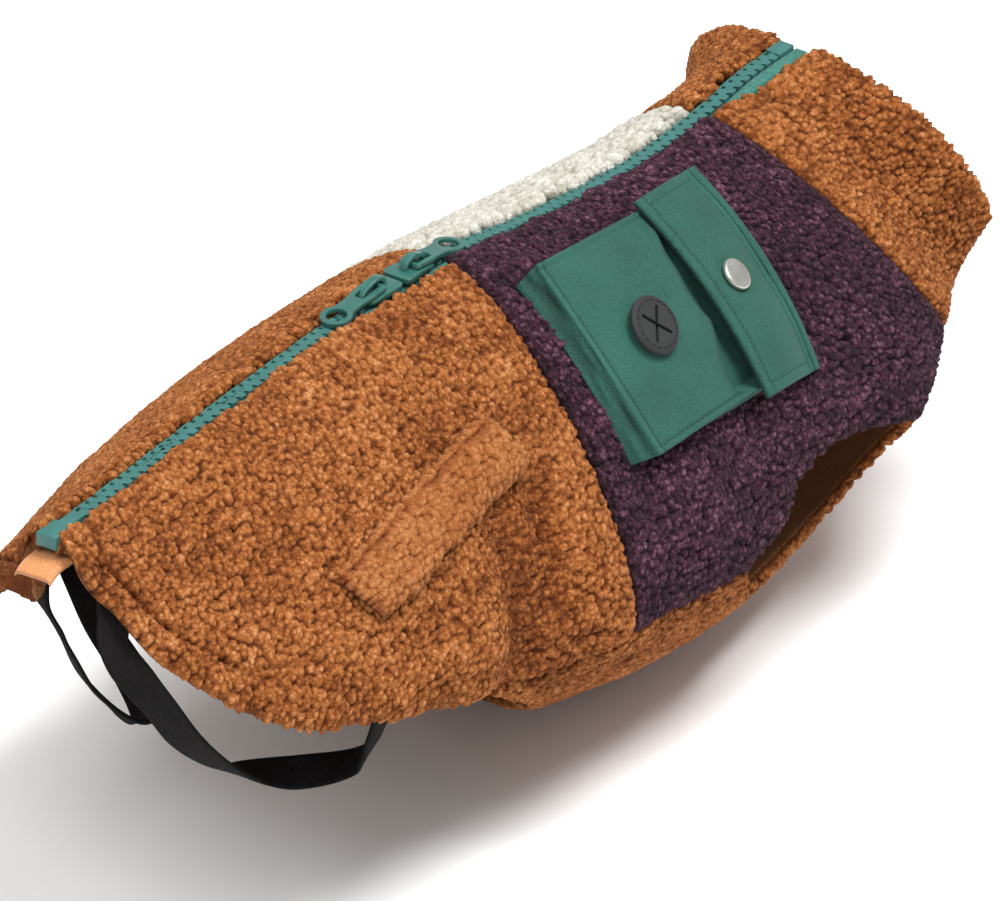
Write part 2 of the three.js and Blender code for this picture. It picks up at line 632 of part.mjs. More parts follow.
// The rubber outlet in the pocket's face has a cross slit that bags are pulled through.
const GROMMET_PROFILE = [
  [0, 0], [GROMMET.radius - 0.2, 0], [GROMMET.radius, 0.5], [GROMMET.radius, 1.2],
  [GROMMET.radius - 0.8, GROMMET.height], [0, GROMMET.height - 0.2],
].map(([radius, height]) => new THREE.Vector2(radius, height));
const slitCutter = (angle) =>
  new THREE.BoxGeometry(GROMMET.slit, GROMMET.slitWidth, 8).rotateZ(angle);
const SLIT_ANGLES = [0.91, 2.29]; // from the direction of the head
add(
  "dispenser_grommet",
  cutFrom(
    new THREE.LatheGeometry(GROMMET_PROFILE, 40).rotateX(Math.PI / 2),
    ...SLIT_ANGLES.map(slitCutter),
  )
    .translate(0, 0, REST)
    .applyMatrix4(grommetFrame),
  "rubber",
);

// The flap is sewn down along its head edge and lies over the pocket's mouth.
const FLAP = {
  thick: 1.8, baseStrip: 0.82,
  free: [[64.9, -21.9, -0.1], [64.0, -70.3, -47.5]],
  base: [[103.3, -15.0, -7.1], [97.9, -64.2, -55.0]],
};
function flapPoint(a, b, lift = 0) {
  const free = new THREE.Vector3(...FLAP.free[0]).lerp(new THREE.Vector3(...FLAP.free[1]), b);
  const base = new THREE.Vector3(...FLAP.base[0]).lerp(new THREE.Vector3(...FLAP.base[1]), b);
  const crown = mix(4.1, 5.2, a) * 4 * b * (1 - b);
  const rise = 2.6 * Math.sin(Math.PI * clamp(a / FLAP.baseStrip, 0, 1)) ** 0.8;
  return free.lerp(base, a).addScaledVector(CHORD_OUT, crown + rise + lift);
}
add(
  "pocket_flap",
  sheet(12, 16, (a, b) => flapPoint(a, b), (a, b) => flapPoint(a, b, -FLAP.thick)),
  "green",
);
const SNAP = { a: 0.33, b: 0.49, radius: 5, height: 1.7 };
const SNAP_PROFILE = [
  [0, 0], [SNAP.radius - 0.4, 0], [SNAP.radius, 0.35], [SNAP.radius - 0.1, 0.7], [SNAP.radius - 0.8, 1.2],
  [SNAP.radius - 2.2, 1.55], [0, SNAP.height],
].map(([radius, height]) => new THREE.Vector2(radius, height));
const snapFrame = frameOn((x, b) => flapPoint((x - FLAP.free[0][0]) / 38, b), FLAP.free[0][0] + SNAP.a * 38, SNAP.b);
add(
  "snap_cap",
  new THREE.LatheGeometry(SNAP_PROFILE, 32).rotateX(Math.PI / 2).translate(0, 0, REST).applyMatrix4(snapFrame),
  "steel",
);

// ---- Leg straps ----
// Elastic webbing from inside the rear hem near the tail, round the buttock and forward between the legs to
// the inside of the flank hem. Each end lies on the inner face of the rear panel: its rows are station, girth
// and lift below it. The free rows are x, y, z of the strap's middle and its outward direction.
const STRAP = { half: 5, thick: 1.2 };
const STRAPS = {
  right: {
    side: -1,
    start: [[-161.5, 20.5, -5.4], [-165, 26, -5.4], [-168, 32, -5.8], [-170.5, 38.5, -7.2]],
    free: [
      [-170.5, -28, -45, -0.8, -0.5, 0.2],
      [-165.5, -30.5, -54, -0.88, -0.42, 0],
      [-156, -31.5, -68.5, -0.82, -0.45, -0.3],
      [-127, -24, -95, -0.6, -0.1, -0.8],
      [-111, -20, -105, -0.3, 0.35, -0.88],
      [-98, -26, -109, 0.1, 0.7, -0.7],
      [-91, -41, -103, 0.3, 0.1, -0.93],
      [-94, -50, -88, 0.1, -0.85, -0.4],
    ],
    end: [[-82, 117, -9], [-82, 108, -6.8], [-82, 100, -5.6], [-82, 93, -5.4]],
  },
  left: {
    side: 1,
    start: [[-146, 21, -5.6], [-150, 24, -6.2], [-153, 28, -8.6]],
    free: [
      [-159.5, 16, -36, -0.85, 0.35, 0.2],
      [-153, 16.5, -49, -0.88, 0.35, 0],
      [-143, 20, -63, -0.85, 0.45, -0.2],
      [-129, 24, -83.5, -0.7, 0.4, -0.55],
      [-114, 22, -101, -0.4, 0.0, -0.9],
      [-100, 27, -108, 0.1, -0.5, -0.85],
      [-91, 41, -103, 0.3, -0.1, -0.93],
      [-94, 50, -88, 0.1, 0.85, -0.4],
    ],
    end: [[-82, 117, -9], [-82, 108, -6.8], [-82, 100, -5.6], [-82, 93, -5.4]],
  },
};
function strapGeometry({ side, start, free, end }, segments) {
  const onPanel = ([x, v, lift]) => {
    const middle = coatPoint(x, side * v, lift);
    return [...middle.toArray(), ...outward(x, side * v).toArray()];
  };
  const rows = [...start.map(onPanel), ...free, ...end.map(onPanel)];
  const path = new THREE.CatmullRomCurve3(rows.map((row) => new THREE.Vector3(row[0], row[1], row[2])));
  const facing = new THREE.CatmullRomCurve3(rows.map((row) => new THREE.Vector3(row[3], row[4], row[5])));
  const face = (lift) => (s, t) => {
    const tangent = path.getTangent(s);
    const across = facing.getPoint(s).cross(tangent).normalize();
    const out = tangent.clone().cross(across).normalize();
    return path
      .getPoint(s)
      .addScaledVector(across, STRAP.half * (2 * t - 1))
      .addScaledVector(out, lift * STRAP.thick);
  };
  return sheet(segments, 2, face(0.5), face(-0.5));
}
for (const [sideName, strap] of Object.entries(STRAPS)) add("leg_strap_" + sideName, strapGeometry(strap, 56), "black");

export default coat;
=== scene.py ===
import math

import bmesh
import bpy
import numpy as np
from mathutils import Matrix, Vector


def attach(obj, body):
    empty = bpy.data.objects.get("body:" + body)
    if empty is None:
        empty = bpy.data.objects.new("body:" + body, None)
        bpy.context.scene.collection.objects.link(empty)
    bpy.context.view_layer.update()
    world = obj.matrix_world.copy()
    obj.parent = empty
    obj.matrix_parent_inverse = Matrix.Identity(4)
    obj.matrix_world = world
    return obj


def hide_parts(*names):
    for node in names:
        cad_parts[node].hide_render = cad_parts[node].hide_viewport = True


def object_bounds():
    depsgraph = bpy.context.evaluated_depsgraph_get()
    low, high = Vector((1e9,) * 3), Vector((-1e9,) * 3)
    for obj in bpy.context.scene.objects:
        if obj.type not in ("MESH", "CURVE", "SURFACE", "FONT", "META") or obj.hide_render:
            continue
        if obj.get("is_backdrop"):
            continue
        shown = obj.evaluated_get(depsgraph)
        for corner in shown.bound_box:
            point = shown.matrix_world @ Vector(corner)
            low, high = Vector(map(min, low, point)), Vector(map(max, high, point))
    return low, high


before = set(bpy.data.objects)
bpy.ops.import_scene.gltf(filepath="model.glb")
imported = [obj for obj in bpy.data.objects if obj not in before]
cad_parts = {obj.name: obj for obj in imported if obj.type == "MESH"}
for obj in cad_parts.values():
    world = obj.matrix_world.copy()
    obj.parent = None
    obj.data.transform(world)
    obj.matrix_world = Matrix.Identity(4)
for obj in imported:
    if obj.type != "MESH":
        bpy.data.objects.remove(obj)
cad_box = [list(corner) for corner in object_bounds()]
bpy.ops.object.select_all(action="DESELECT")

# ---- Camera ----
# Seen from the tail end of the right side, a little above and from far away, so that lines stay nearly
# parallel. The whole coat fills the frame.
VIEW_TARGET = Vector((-0.01074, -0.03003, -0.0445))
VIEW_FROM = Vector((-0.69735, -0.51790, 0.49546))
VIEW_DISTANCE = 2.8
bpy.ops.object.camera_add(location=VIEW_TARGET + VIEW_FROM * VIEW_DISTANCE)
camera = bpy.context.object
camera.rotation_euler = (-VIEW_FROM).to_track_quat("-Z", "Y").to_euler()
camera.data.sensor_width = 36
camera.data.lens = 358.7
camera.data.clip_end = 20
bpy.context.scene.camera = camera

# ---- Rear panels, right and left ----
# Curly polyester fleece on a knit backing, one piece a side from the zip to the flank, with the tail hem
# turned in and stitched. Each is a closed sheet: fine curls outside and at its edges, plain knit inside.
FLEECE_MM = 4.0
BACK_FLAT_MM = 5.0
# Sections across the body: x and z of the top on the zip line, pitch in degrees, half-width, drop to the
# widest point, drop from there to the belly, and how full the upper and lower curves are. Millimetres.
BODY_SECTIONS = [
    (-200, -6.5, -9, 49, 73, 42, 1.20, 1.95),
    (-150, -3.5, -9, 56, 72, 45, 1.22, 1.95),
    (-100, 0.8, -10, 65, 69, 46, 1.30, 1.95),
    (-50, 3.8, -8, 70, 75, 48, 1.40, 1.95),
    (0, 4.0, -5, 75, 86, 51, 1.42, 1.95),
    (50, -2.5, 7, 74, 86, 58, 1.55, 1.88),
    (95, -5.8, 27, 72, 86, 43, 1.42, 1.80),
    (127, -4.0, 31, 60, 78, 30, 1.40, 1.80),
    (150, -0.5, 30, 47.5, 80, 24, 1.60, 1.80),
    (175, 0.5, 28, 53, 60, 15, 2.10, 1.80),
]
# Drape folds: side, station and girth of each end, height (a trough is negative) and half-width.
DRAPE_FOLDS = [
    (-1, (-40, 72), (-42, 118), -4.5, 8),
    (-1, (-24, 74), (-30, 104), -3.5, 6),
    (-1, (-62, 96), (-60, 112), 3.0, 9),
    (-1, (-150, 62), (-118, 84), 2.0, 11),
    (-1, (-14, 96), (-8, 122), 2.5, 9),
    (-1, (30, 96), (34, 122), 1.8, 10),
    (-1, (42, 52), (76, 55), -4.2, 15),
    (1, (-46, 70), (-38, 116), -4.0, 8),
    (1, (-72, 92), (-66, 112), 2.6, 9),
    (1, (-16, 92), (-12, 120), 2.4, 9),
    (1, (36, 92), (30, 120), 2.0, 10),
    (1, (-190, 24), (-171, 25), -13, 11),
]


def smooth_step(low, high, value):
    t = np.clip((value - low) / (high - low), 0, 1)
    return t * t * (3 - 2 * t)


def bell(distance, half):
    return np.exp(-((distance / half) ** 2))


def unit(vectors):
    return vectors / np.linalg.norm(vectors, axis=-1, keepdims=True)


def paired(a, b):
    """Two numbers or arrays as float arrays of one shape."""
    return np.broadcast_arrays(np.asarray(a, float), np.asarray(b, float))


def share_grid(rows, columns):
    """Shares from 0 to 1 along that many rows and columns of cells, as two grids."""
    return np.meshgrid(np.linspace(0, 1, rows + 1), np.linspace(0, 1, columns + 1), indexing="ij")


def body_form():
    """Rings of the body each millimetre along it: points, outward directions and half girths, in
    millimetres."""
    rows = np.array(BODY_SECTIONS, float)
    stations = np.arange(-215.0, 196.0)
    i = np.clip(np.searchsorted(rows[:, 0], stations, side="left") - 1, 0, len(rows) - 2)
    before, after = np.maximum(i - 1, 0), np.minimum(i + 2, len(rows) - 1)
    span = (rows[i + 1, 0] - rows[i, 0])[:, None]
    t = (stations[:, None] - rows[i, :1]) / span
    slope_a = (rows[i + 1] - rows[before]) / (rows[i + 1, :1] - rows[before, :1]) * span
    slope_b = (rows[after] - rows[i]) / (rows[after, :1] - rows[i, :1]) * span
    s = (2 * t**3 - 3 * t**2 + 1) * rows[i] + (t**3 - 2 * t**2 + t) * slope_a
    s += (-2 * t**3 + 3 * t**2) * rows[i + 1] + (t**3 - t**2) * slope_b
    angle = np.linspace(0, np.pi, 241)[None, 1:]
    upper = angle <= np.pi / 2
    power = 2 / np.where(upper, s[:, 6:7], s[:, 7:8])
    across = np.maximum(np.sin(angle), 0) ** power
    down = np.abs(np.cos(angle)) ** power
    y = np.where(upper, BACK_FLAT_MM + (s[:, 3:4] - BACK_FLAT_MM) * across, s[:, 3:4] * across)
    drop = np.where(upper, s[:, 4:5] * (1 - down), s[:, 4:5] + s[:, 5:6] * down)
    y = np.hstack([np.zeros((len(s), 1)), np.full((len(s), 1), BACK_FLAT_MM), y])
    drop = np.hstack([np.zeros((len(s), 2)), drop])
    pitch = np.radians(s[:, 2:3])
    points = np.stack([stations[:, None] + drop * np.sin(pitch), y, s[:, 1:2] - drop * np.cos(pitch)], -1)
    girth = np.cumsum(np.linalg.norm(np.diff(points, axis=1), axis=2), axis=1)
    girth = np.hstack([np.zeros((len(s), 1)), girth])
    share = np.linspace(0, 1, 361)
    even = np.empty((len(s), len(share), 3))
    for k in range(len(s)):
        for axis in range(3):
            even[k, :, axis] = np.interp(share * girth[k, -1], girth[k], points[k, :, axis])
    along = np.gradient(even, axis=0)
    round_body = np.gradient(even, axis=1)
    outward = unit(np.cross(along, round_body))
    outward[:, -1] = unit(outward[:, -1] * (1, 0, 1))
    spine = np.gradient(even[:, 0], axis=0)
    up = unit(np.stack([-spine[:, 2], 0 * spine[:, 0], spine[:, 0]], -1))
    blend = smooth_step(6, 20, share[None, :] * girth[:, -1:])[..., None]
    return stations, girth[:, -1], even, unit(up[:, None] * (1 - blend) + outward * blend)


STATIONS, HALF_GIRTHS, FORM_POINTS, FORM_OUTWARD = body_form()


def half_girth(x):
    return np.interp(x, STATIONS, HALF_GIRTHS)


def on_body(x, v):
    """Surface point and outward direction at station x and girth v (negative on the right), in
    millimetres."""
    x, v = paired(x, v)
    side = np.where(v < 0, -1.0, 1.0)
    half = half_girth(x)
    share = np.abs(v) / half
    past = share > 1
    share = np.where(past, 2 - share, share)
    side = np.where(past, -side, side)
    i = np.clip(np.floor(x - STATIONS[0]).astype(int), 0, len(STATIONS) - 2)
    fx = np.clip(x - STATIONS[0] - i, -1, 2)[..., None]
    u = share * (FORM_POINTS.shape[1] - 1)
    j = np.clip(np.floor(u).astype(int), 0, FORM_POINTS.shape[1] - 2)
    fu = (u - j)[..., None]

    def look_up(table):
        near = table[i, j] * (1 - fu) + table[i, j + 1] * fu
        far = table[i + 1, j] * (1 - fu) + table[i + 1, j + 1] * fu
        found = near * (1 - fx) + far * fx
        found[..., 1] *= side
        return found

    point, outward = look_up(FORM_POINTS), look_up(FORM_OUTWARD)
    return point, unit(outward)


def fold_height(x, v):
    height = np.zeros(np.broadcast(x, v).shape)
    for side, (x0, v0), (x1, v1), rise, half in DRAPE_FOLDS:
        dx, dv = x1 - x0, v1 - v0
        t = np.clip(((x - x0) * dx + (np.abs(v) - v0) * dv) / (dx * dx + dv * dv), 0, 1)
        away = np.hypot(x - x0 - dx * t, np.abs(v) - v0 - dv * t) / half
        height += np.where(np.where(v < 0, -1, 1) == side, rise * np.exp(-away * away), 0)
    return height


def coat_point(x, v, lift=0.0):
    """A point of the coat in metres: lift is in millimetres out from the fleece's outer face."""
    point, outward = on_body(x, v)
    lift = np.asarray(lift + fold_height(x, v))
    return (point + outward * lift[..., None]) / 1000


def edge_path(*tables):
    """A smooth path through edge rows of station and girth: a function from 0..1 by length."""
    parts = []
    for table in tables:
        p = np.array(table, float)
        n = len(p)
        t = np.linspace(0, n - 1, 40 * (n - 1) + 1)
        k = np.minimum(t.astype(int), n - 2)
        w = (t - k)[:, None]
        p0, p1, p2, p3 = p[np.maximum(k - 1, 0)], p[k], p[k + 1], p[np.minimum(k + 2, n - 1)]
        a, b = (p2 - p0) / 2, (p3 - p1) / 2
        parts.append(
            (2 * w**3 - 3 * w**2 + 1) * p1 + (w**3 - 2 * w**2 + w) * a
            + (3 * w**2 - 2 * w**3) * p2 + (w**3 - w**2) * b
        )
    path = np.vstack(parts)
    along = np.hstack([0, np.cumsum(np.linalg.norm(np.diff(path, axis=0), axis=1))])
    return lambda t: (
        np.interp(t * along[-1], along, path[:, 0]), np.interp(t * along[-1], along, path[:, 1])
    )


TUFT_SHARPNESS = 7.0


def lattice_noise(x, v, size, seed):
    """Smooth noise from -1 to 1 with features of that size."""
    table = np.random.default_rng(seed).uniform(-1, 1, (256, 256))
    gx, gv = x / size, v / size
    i, j = np.floor(gx).astype(int), np.floor(gv).astype(int)
    fx, fv = gx - i, gv - j
    fx, fv = fx * fx * (3 - 2 * fx), fv * fv * (3 - 2 * fv)
    row = lambda a: table[a & 255, j & 255] * (1 - fv) + table[a & 255, (j + 1) & 255] * fv
    return row(i) * (1 - fx) + row(i + 1) * fx


def curls(x, v, size=2.0, seed=1):
    """Round tufts scattered that far apart: height, a sideways shift in millimetres, and each tuft's own
    shade."""
    table = np.random.default_rng(seed).uniform(0, 1, (256, 256, 5))
    gx = x / size + 0.25 * lattice_noise(x, v, size * 2, seed + 10)
    gv = v / size + 0.25 * lattice_noise(x, v, size * 2, seed + 11)
    i, j = np.floor(gx).astype(int), np.floor(gv).astype(int)
    total, pull_x, pull_v, shade = (np.zeros(gx.shape) for _ in range(4))
    for di in (-1, 0, 1):
        for dj in (-1, 0, 1):
            own = table[(i + di) & 255, (j + dj) & 255]
            to_x, to_v = i + di + 0.12 + 0.76 * own[..., 0] - gx, j + dj + 0.12 + 0.76 * own[..., 1] - gv
            dome = 0.25 * own[..., 3] - (to_x**2 + to_v**2) / (0.62 + 0.22 * own[..., 2]) ** 2
            weight = np.exp(TUFT_SHARPNESS * dome)
            total += weight
            pull_x += weight * to_x
            pull_v += weight * to_v
            shade += weight * own[..., 4]
    tousled = lattice_noise(x, v, 11.0, seed + 5) + 0.6 * lattice_noise(x, v, 4.6, seed + 6)
    height = 1.8 * np.clip(np.log(total) / TUFT_SHARPNESS, -1.6, 0.25) + 0.81 + 0.4 * tousled
    return (
        np.clip(height, -1.6, 1.6), -0.2 * size * pull_x / total, -0.2 * size * pull_v / total, shade / total
    )


def closed_sheet(name, outer, inner, tone, material):
    """One closed mesh from a fine outer grid and a coarser inner grid whose edges line up with it."""
    rows, columns = outer.shape[0] - 1, outer.shape[1] - 1
    inner_rows, inner_columns = inner.shape[0] - 1, inner.shape[1] - 1
    first_inner = (rows + 1) * (columns + 1)
    points = np.vstack([outer.reshape(-1, 3), inner.reshape(-1, 3)])

    def grid_faces(r, c, base, turn):
        a = (np.arange(r)[:, None] * (c + 1) + np.arange(c)[None, :]).ravel() + base
        quad = np.stack([a, a + c + 1, a + c + 2, a + 1], 1)
        return quad[:, ::-1] if turn else quad

    def grid_spots(r, c, low, high):
        i, j = np.meshgrid(np.arange(r), np.arange(c), indexing="ij")
        i, j = i.ravel(), j.ravel()
        corner = lambda di, dj: np.stack([(i + di) / r, (j + dj) / c], 1)
        spots = np.stack([corner(0, 0), corner(1, 0), corner(1, 1), corner(0, 1)], 1)
        return spots * (np.array(high) - low) + low

    quads = [grid_faces(rows, columns, 0, False), grid_faces(inner_rows, inner_columns, first_inner, True)]
    spots = [grid_spots(rows, columns, (0.01, 0.01), (0.99, 0.70))]
    spots.append(grid_spots(inner_rows, inner_columns, (0.01, 0.72), (0.99, 0.92))[:, ::-1])
    triangles, triangle_spots = [], []

    def rims(r, c, first):
        """The grid's four sides, each as a run of points."""
        index = first + np.arange((r + 1) * (c + 1)).reshape(r + 1, c + 1)
        return index[0], index[-1, ::-1], index[::-1, 0], index[:, -1]

    sides = zip(rims(rows, columns, 0), rims(inner_rows, inner_columns, first_inner))
    for k, (fine, coarse) in enumerate(sides):
        step = (len(fine) - 1) // (len(coarse) - 1)
        top, bottom = 0.93 + 0.017 * k, 0.943 + 0.017 * k
        along = lambda n: 0.01 + 0.98 * n / (len(fine) - 1)
        for m in range(len(coarse) - 1):
            middle = m * step + step // 2
            for n in range(m * step, (m + 1) * step):
                near = m if n < middle else m + 1
                triangles.append((fine[n], fine[n + 1], coarse[near]))
                triangle_spots.append(((along(n), top), (along(n + 1), top), (along(near * step), bottom)))
            triangles.append((fine[middle], coarse[m + 1], coarse[m]))
            triangle_spots.append(
                ((along(middle), top), (along((m + 1) * step), bottom), (along(m * step), bottom))
            )
    quads = np.vstack(quads)
    triangles = np.array(triangles)
    corners = np.concatenate([quads.ravel(), triangles.ravel()])
    starts = np.concatenate([np.arange(len(quads)) * 4, len(quads) * 4 + np.arange(len(triangles)) * 3])
    mesh = bpy.data.meshes.new(name)
    mesh.vertices.add(len(points))
    mesh.vertices.foreach_set("co", points.astype(np.float32).ravel())
    mesh.loops.add(len(corners))
    mesh.loops.foreach_set("vertex_index", corners.astype(np.int32))
    mesh.polygons.add(len(starts))
    mesh.polygons.foreach_set("loop_start", starts.astype(np.int32))
    mesh.update(calc_edges=True)
    uv = mesh.uv_layers.new(name="OFBake")
    flat_spots = np.vstack([np.vstack(spots).reshape(-1, 2), np.array(triangle_spots).reshape(-1, 2)])
    uv.data.foreach_set("uv", flat_spots.astype(np.float32).ravel())
    shade = mesh.attributes.new("tone", "FLOAT", "POINT")
    shade.data.foreach_set(
        "value",
        np.concatenate([tone.ravel(), np.full(inner.shape[0] * inner.shape[1], -1.0)]).astype(np.float32),
    )
    mesh.polygons.foreach_set("use_smooth", np.full(len(starts), True))
    if signed_volume(points, corners, len(quads)) < 0:
        mesh.flip_normals()
    mesh.materials.append(material)
    piece = bpy.data.objects.new(name, mesh)
    bpy.context.collection.objects.link(piece)
    return piece


def signed_volume(points, corners, quad_count):
    quads = corners[: quad_count * 4].reshape(-1, 4)
    rest = corners[quad_count * 4 :].reshape(-1, 3)
    faces = np.vstack([quads[:, :3], quads[:, [0, 2, 3]], rest])
    a, b, c = points[faces[:, 0]], points[faces[:, 1]], points[faces[:, 2]]
    return np.einsum("ij,ij->i", a, np.cross(b, c)).sum()


def new_material(name):
    material = bpy.data.materials.new(name)
    material.use_nodes = True
    return material


def feed(material, node, inputs):
    """Sets a node's inputs, each given as a value or as the output that feeds it."""
    for key, value in inputs.items():
        if isinstance(value, bpy.types.NodeSocket):
            material.node_tree.links.new(value, node.inputs[key])
        else:
            node.inputs[key].default_value = value
    return node.outputs


def finished(material, inputs):
    feed(material, material.node_tree.nodes["Principled BSDF"], inputs)
    return material


def add_node(material, kind, inputs):
    return feed(material, material.node_tree.nodes.new("ShaderNode" + kind), inputs)


def object_place(material):
    nodes = material.node_tree.nodes
    return (nodes.get("Texture Coordinate") or nodes.new("ShaderNodeTexCoord")).outputs["Object"]


def tone_of(material):
    node = material.node_tree.nodes.new("ShaderNodeAttribute")
    node.attribute_name = "tone"
    return node.outputs["Fac"]


def noise(material, size_mm, detail, distortion=0.0, kind="FBM"):
    node = material.node_tree.nodes.new("ShaderNodeTexNoise")
    node.noise_type = kind
    inputs = {"Scale": 1000 / size_mm, "Detail": detail, "Distortion": distortion}
    return feed(material, node, {**inputs, "Vector": object_place(material)})


def reckon(material, operation, *values):
    node = material.node_tree.nodes.new("ShaderNodeMath")
    node.operation = operation
    return feed(material, node, dict(enumerate(values)))[0]


def sum_of(material, value, factor, more):
    return reckon(material, "MULTIPLY_ADD", value, factor, more)


def spread(material, value, low=0.0, high=1.0, to=(0.0, 1.0)):
    inputs = {"Value": value, "From Min": low, "From Max": high, "To Min": to[0], "To Max": to[1]}
    return add_node(material, "MapRange", inputs)["Result"]


def ramp(material, value, first, last, *between):
    """Colours along the value: each stop is a position and a colour."""
    node = material.node_tree.nodes.new("ShaderNodeValToRGB")
    stops = node.color_ramp.elements
    for stop, (position, color) in zip(stops, (first, last)):
        stop.position, stop.color = position, (*color, 1)
    for position, color in between:
        stops.new(position).color = (*color, 1)
    return feed(material, node, {"Fac": value})["Color"]


def bump(material, height, strength, distance):
    inputs = {"Height": height, "Strength": strength, "Distance": distance}
    return add_node(material, "Bump", inputs)["Normal"]


def fleece_material(name, cleft, body, tip, inside, sheen_tint, tuft_mm=1.5, depth=1.0):
    """Curly fleece: tufts each of its own shade, with painted shade between them and painted highlight
    on their tips, fine fibres with painted glints and rings, and a plain knit inside."""
    made = new_material(name)
    tone = tone_of(made)
    nodes = made.node_tree.nodes
    wander = nodes.new("ShaderNodeVectorMath")
    wander.operation = "MULTIPLY_ADD"
    wandering = {0: noise(made, 2.2, 1)["Color"], 1: (0.001, 0.001, 0.001), 2: object_place(made)}
    tuft = nodes.new("ShaderNodeTexVoronoi")
    tuft.feature = "SMOOTH_F1"
    vector = feed(made, wander, wandering)[0]
    tuft = feed(made, tuft, {"Scale": 1000 / tuft_mm, "Smoothness": 0.2, "Vector": vector})
    cleft_depth, own = tuft["Distance"], add_node(made, "SeparateColor", {"Color": tuft["Color"]})["Red"]
    fibre = noise(made, 0.8, 1, 2.0, "RIDGED_MULTIFRACTAL")["Fac"]
    strand = noise(made, 0.42, 1, 2.0)["Fac"]
    # Rings and glints: painted highlights on the curled fibres.
    ring = reckon(made, "SINE", sum_of(made, cleft_depth, 19, sum_of(made, fibre, 3, strand)))
    glint = spread(made, noise(made, 0.55, 0, 4.0)["Fac"], 0.56, 0.72)
    shade = sum_of(made, fibre, 0.55, sum_of(made, strand, 0.80, tone))
    cloudy = noise(made, 16, 3)["Fac"]
    # cleft_depth darkens the colour towards each tuft's edge: painted shade between the tufts.
    parts = (glint, 0.32), (ring, 0.10), (cloudy, 0.30), (own, 0.3), (cleft_depth, -0.85 * depth)
    for part, weight in parts:
        shade = sum_of(made, part, weight, shade)
    knit = nodes.new("ShaderNodeMix")
    knit.data_type = "RGBA"
    # The ramp runs from the clefts' painted shade through the body colour to the tips' painted highlight.
    pile = ramp(made, spread(made, shade, 0.60, 1.88), (0.0, cleft), (1.0, tip), (0.5, body))
    hidden = reckon(made, "LESS_THAN", tone, -0.5)
    relief = sum_of(made, cleft_depth, -1.5 * depth, sum_of(made, strand, 0.5, fibre))
    return finished(made, {
        "Base Color": feed(made, knit, {"Factor": hidden, "A": pile, "B": (*inside, 1)})["Result"],
        "Normal": bump(made, relief, 1.0, 0.001),
        "Roughness": 0.95, "Specular IOR Level": 0.12,
        "Sheen Weight": 0.1, "Sheen Roughness": 0.4, "Sheen Tint": (*sheen_tint, 1),
    })


def fleece_piece(
    name, rows, columns, coarse, place, edges, material,
    hems=None, rise=0.8, size=2.0, seed=1, pile_place=None,
):
    """A fleece panel: place(s, t) gives station and girth, and pile_place those of its pile. edges names
    its four sides, start, end, top and low, as open (rolled round) or seam (dipping to meet its neighbour).
    hems gives how far in a side is stitched."""
    s, t = share_grid(rows, columns)
    x, v = (pile_place or place)(s, t)
    height, shift_x, shift_v, own = curls(x, v, size, seed)
    along_s = np.hypot(np.gradient(x, axis=0), np.gradient(v, axis=0))
    along_t = np.hypot(np.gradient(x, axis=1), np.gradient(v, axis=1))
    from_start, from_top = np.cumsum(along_s, axis=0), np.cumsum(along_t, axis=1)
    distance = {
        "start": from_start - from_start[:1],
        "end": from_start[-1:] - from_start,
        "top": from_top - from_top[:, :1],
        "low": from_top[:, -1:] - from_top,
    }
    lift = height * rise
    keep = np.ones(x.shape)
    # Painted highlight on high tufts, painted shade low in the pile and in drape troughs.
    tone = 0.5 + 0.36 * height + 0.3 * (own - 0.65) + 0.08 * np.minimum(fold_height(x, v), 0)
    out_s = np.stack([np.gradient(x, axis=0), np.gradient(v, axis=0)]) / along_s
    out_t = np.stack([np.gradient(x, axis=1), np.gradient(v, axis=1)]) / along_t
    outwards = {"start": -out_s, "end": out_s, "top": -out_t, "low": out_t}
    fluff = np.zeros((2,) + x.shape)
    for side, kind in edges.items():
        d = distance[side]
        if kind == "open":
            inside = np.clip(d, 0, ROLL_MM)
            lift = lift - (ROLL_MM - np.sqrt(ROLL_MM**2 - (ROLL_MM - inside) ** 2))
            fluff += outwards[side] * (1.7 * height + 0.2) * np.exp(-d / 2.0)
        else:
            lift = lift - SEAM_DIP_MM * bell(d, 1.6)
            # Painted shade along the seam's dip.
            tone = tone - 0.25 * bell(d, 1.3)
            keep = np.minimum(keep, smooth_step(0, 1.2, d))
    for side, width in (hems or {}).items():
        pull = 0.8 + 0.4 * lattice_noise(x, v, 9.0, seed + 31)
        crease = pull * bell(distance[side] - width - 0.8 * lattice_noise(x, v, 14.0, seed + 33), 1.1)
        crease = crease * (1 - 0.8 * smooth_step(-150, -120, x))
        lift = lift - 2.1 * crease + 0.4 * bell(distance[side] - 0.5 * width, 2.6)
        # Painted shade in the hem's crease.
        tone = tone - 0.45 * crease
    x, v = x + shift_x * keep + fluff[0], v + shift_v * keep + fluff[1]
    outer = coat_point(x, v, lift)
    inner_s, inner_t = s[::coarse, ::coarse], t[::coarse, ::coarse]
    inner_x, inner_v = place(inner_s, inner_t)
    inner = coat_point(inner_x, inner_v, -FLEECE_MM)
    return closed_sheet(name, outer, inner, np.clip(tone, -0.2, 1.1), material)


ROLL_MM, SEAM_DIP_MM, EDGE_MM = 2.6, 1.3, 6.6
TAIL_MM, SEAM_MM, COLLAR_MM, RIM_MM, GAP_MM = -174.0, 0.0, 127.0, 173.0, 0.4
REAR_HEM = [
    (TAIL_MM, 14), (-173, 22), (-169, 30.5), (-163, 46.5), (-154, 60.3), (-142, 74.5),
    (-129, 86.5), (-112, 97), (-90.6, 108), (-69.7, 117), (-52, 124),
]
FLANK_SEAM = [(-52, 124), (-30, 129), (SEAM_MM, 129)]


def zip_edge(x, side):
    """How far the knit's edge is from the zip line."""
    return EDGE_MM + (3.2 * smooth_step(124, 146, x) if side < 0 else 0 * x)


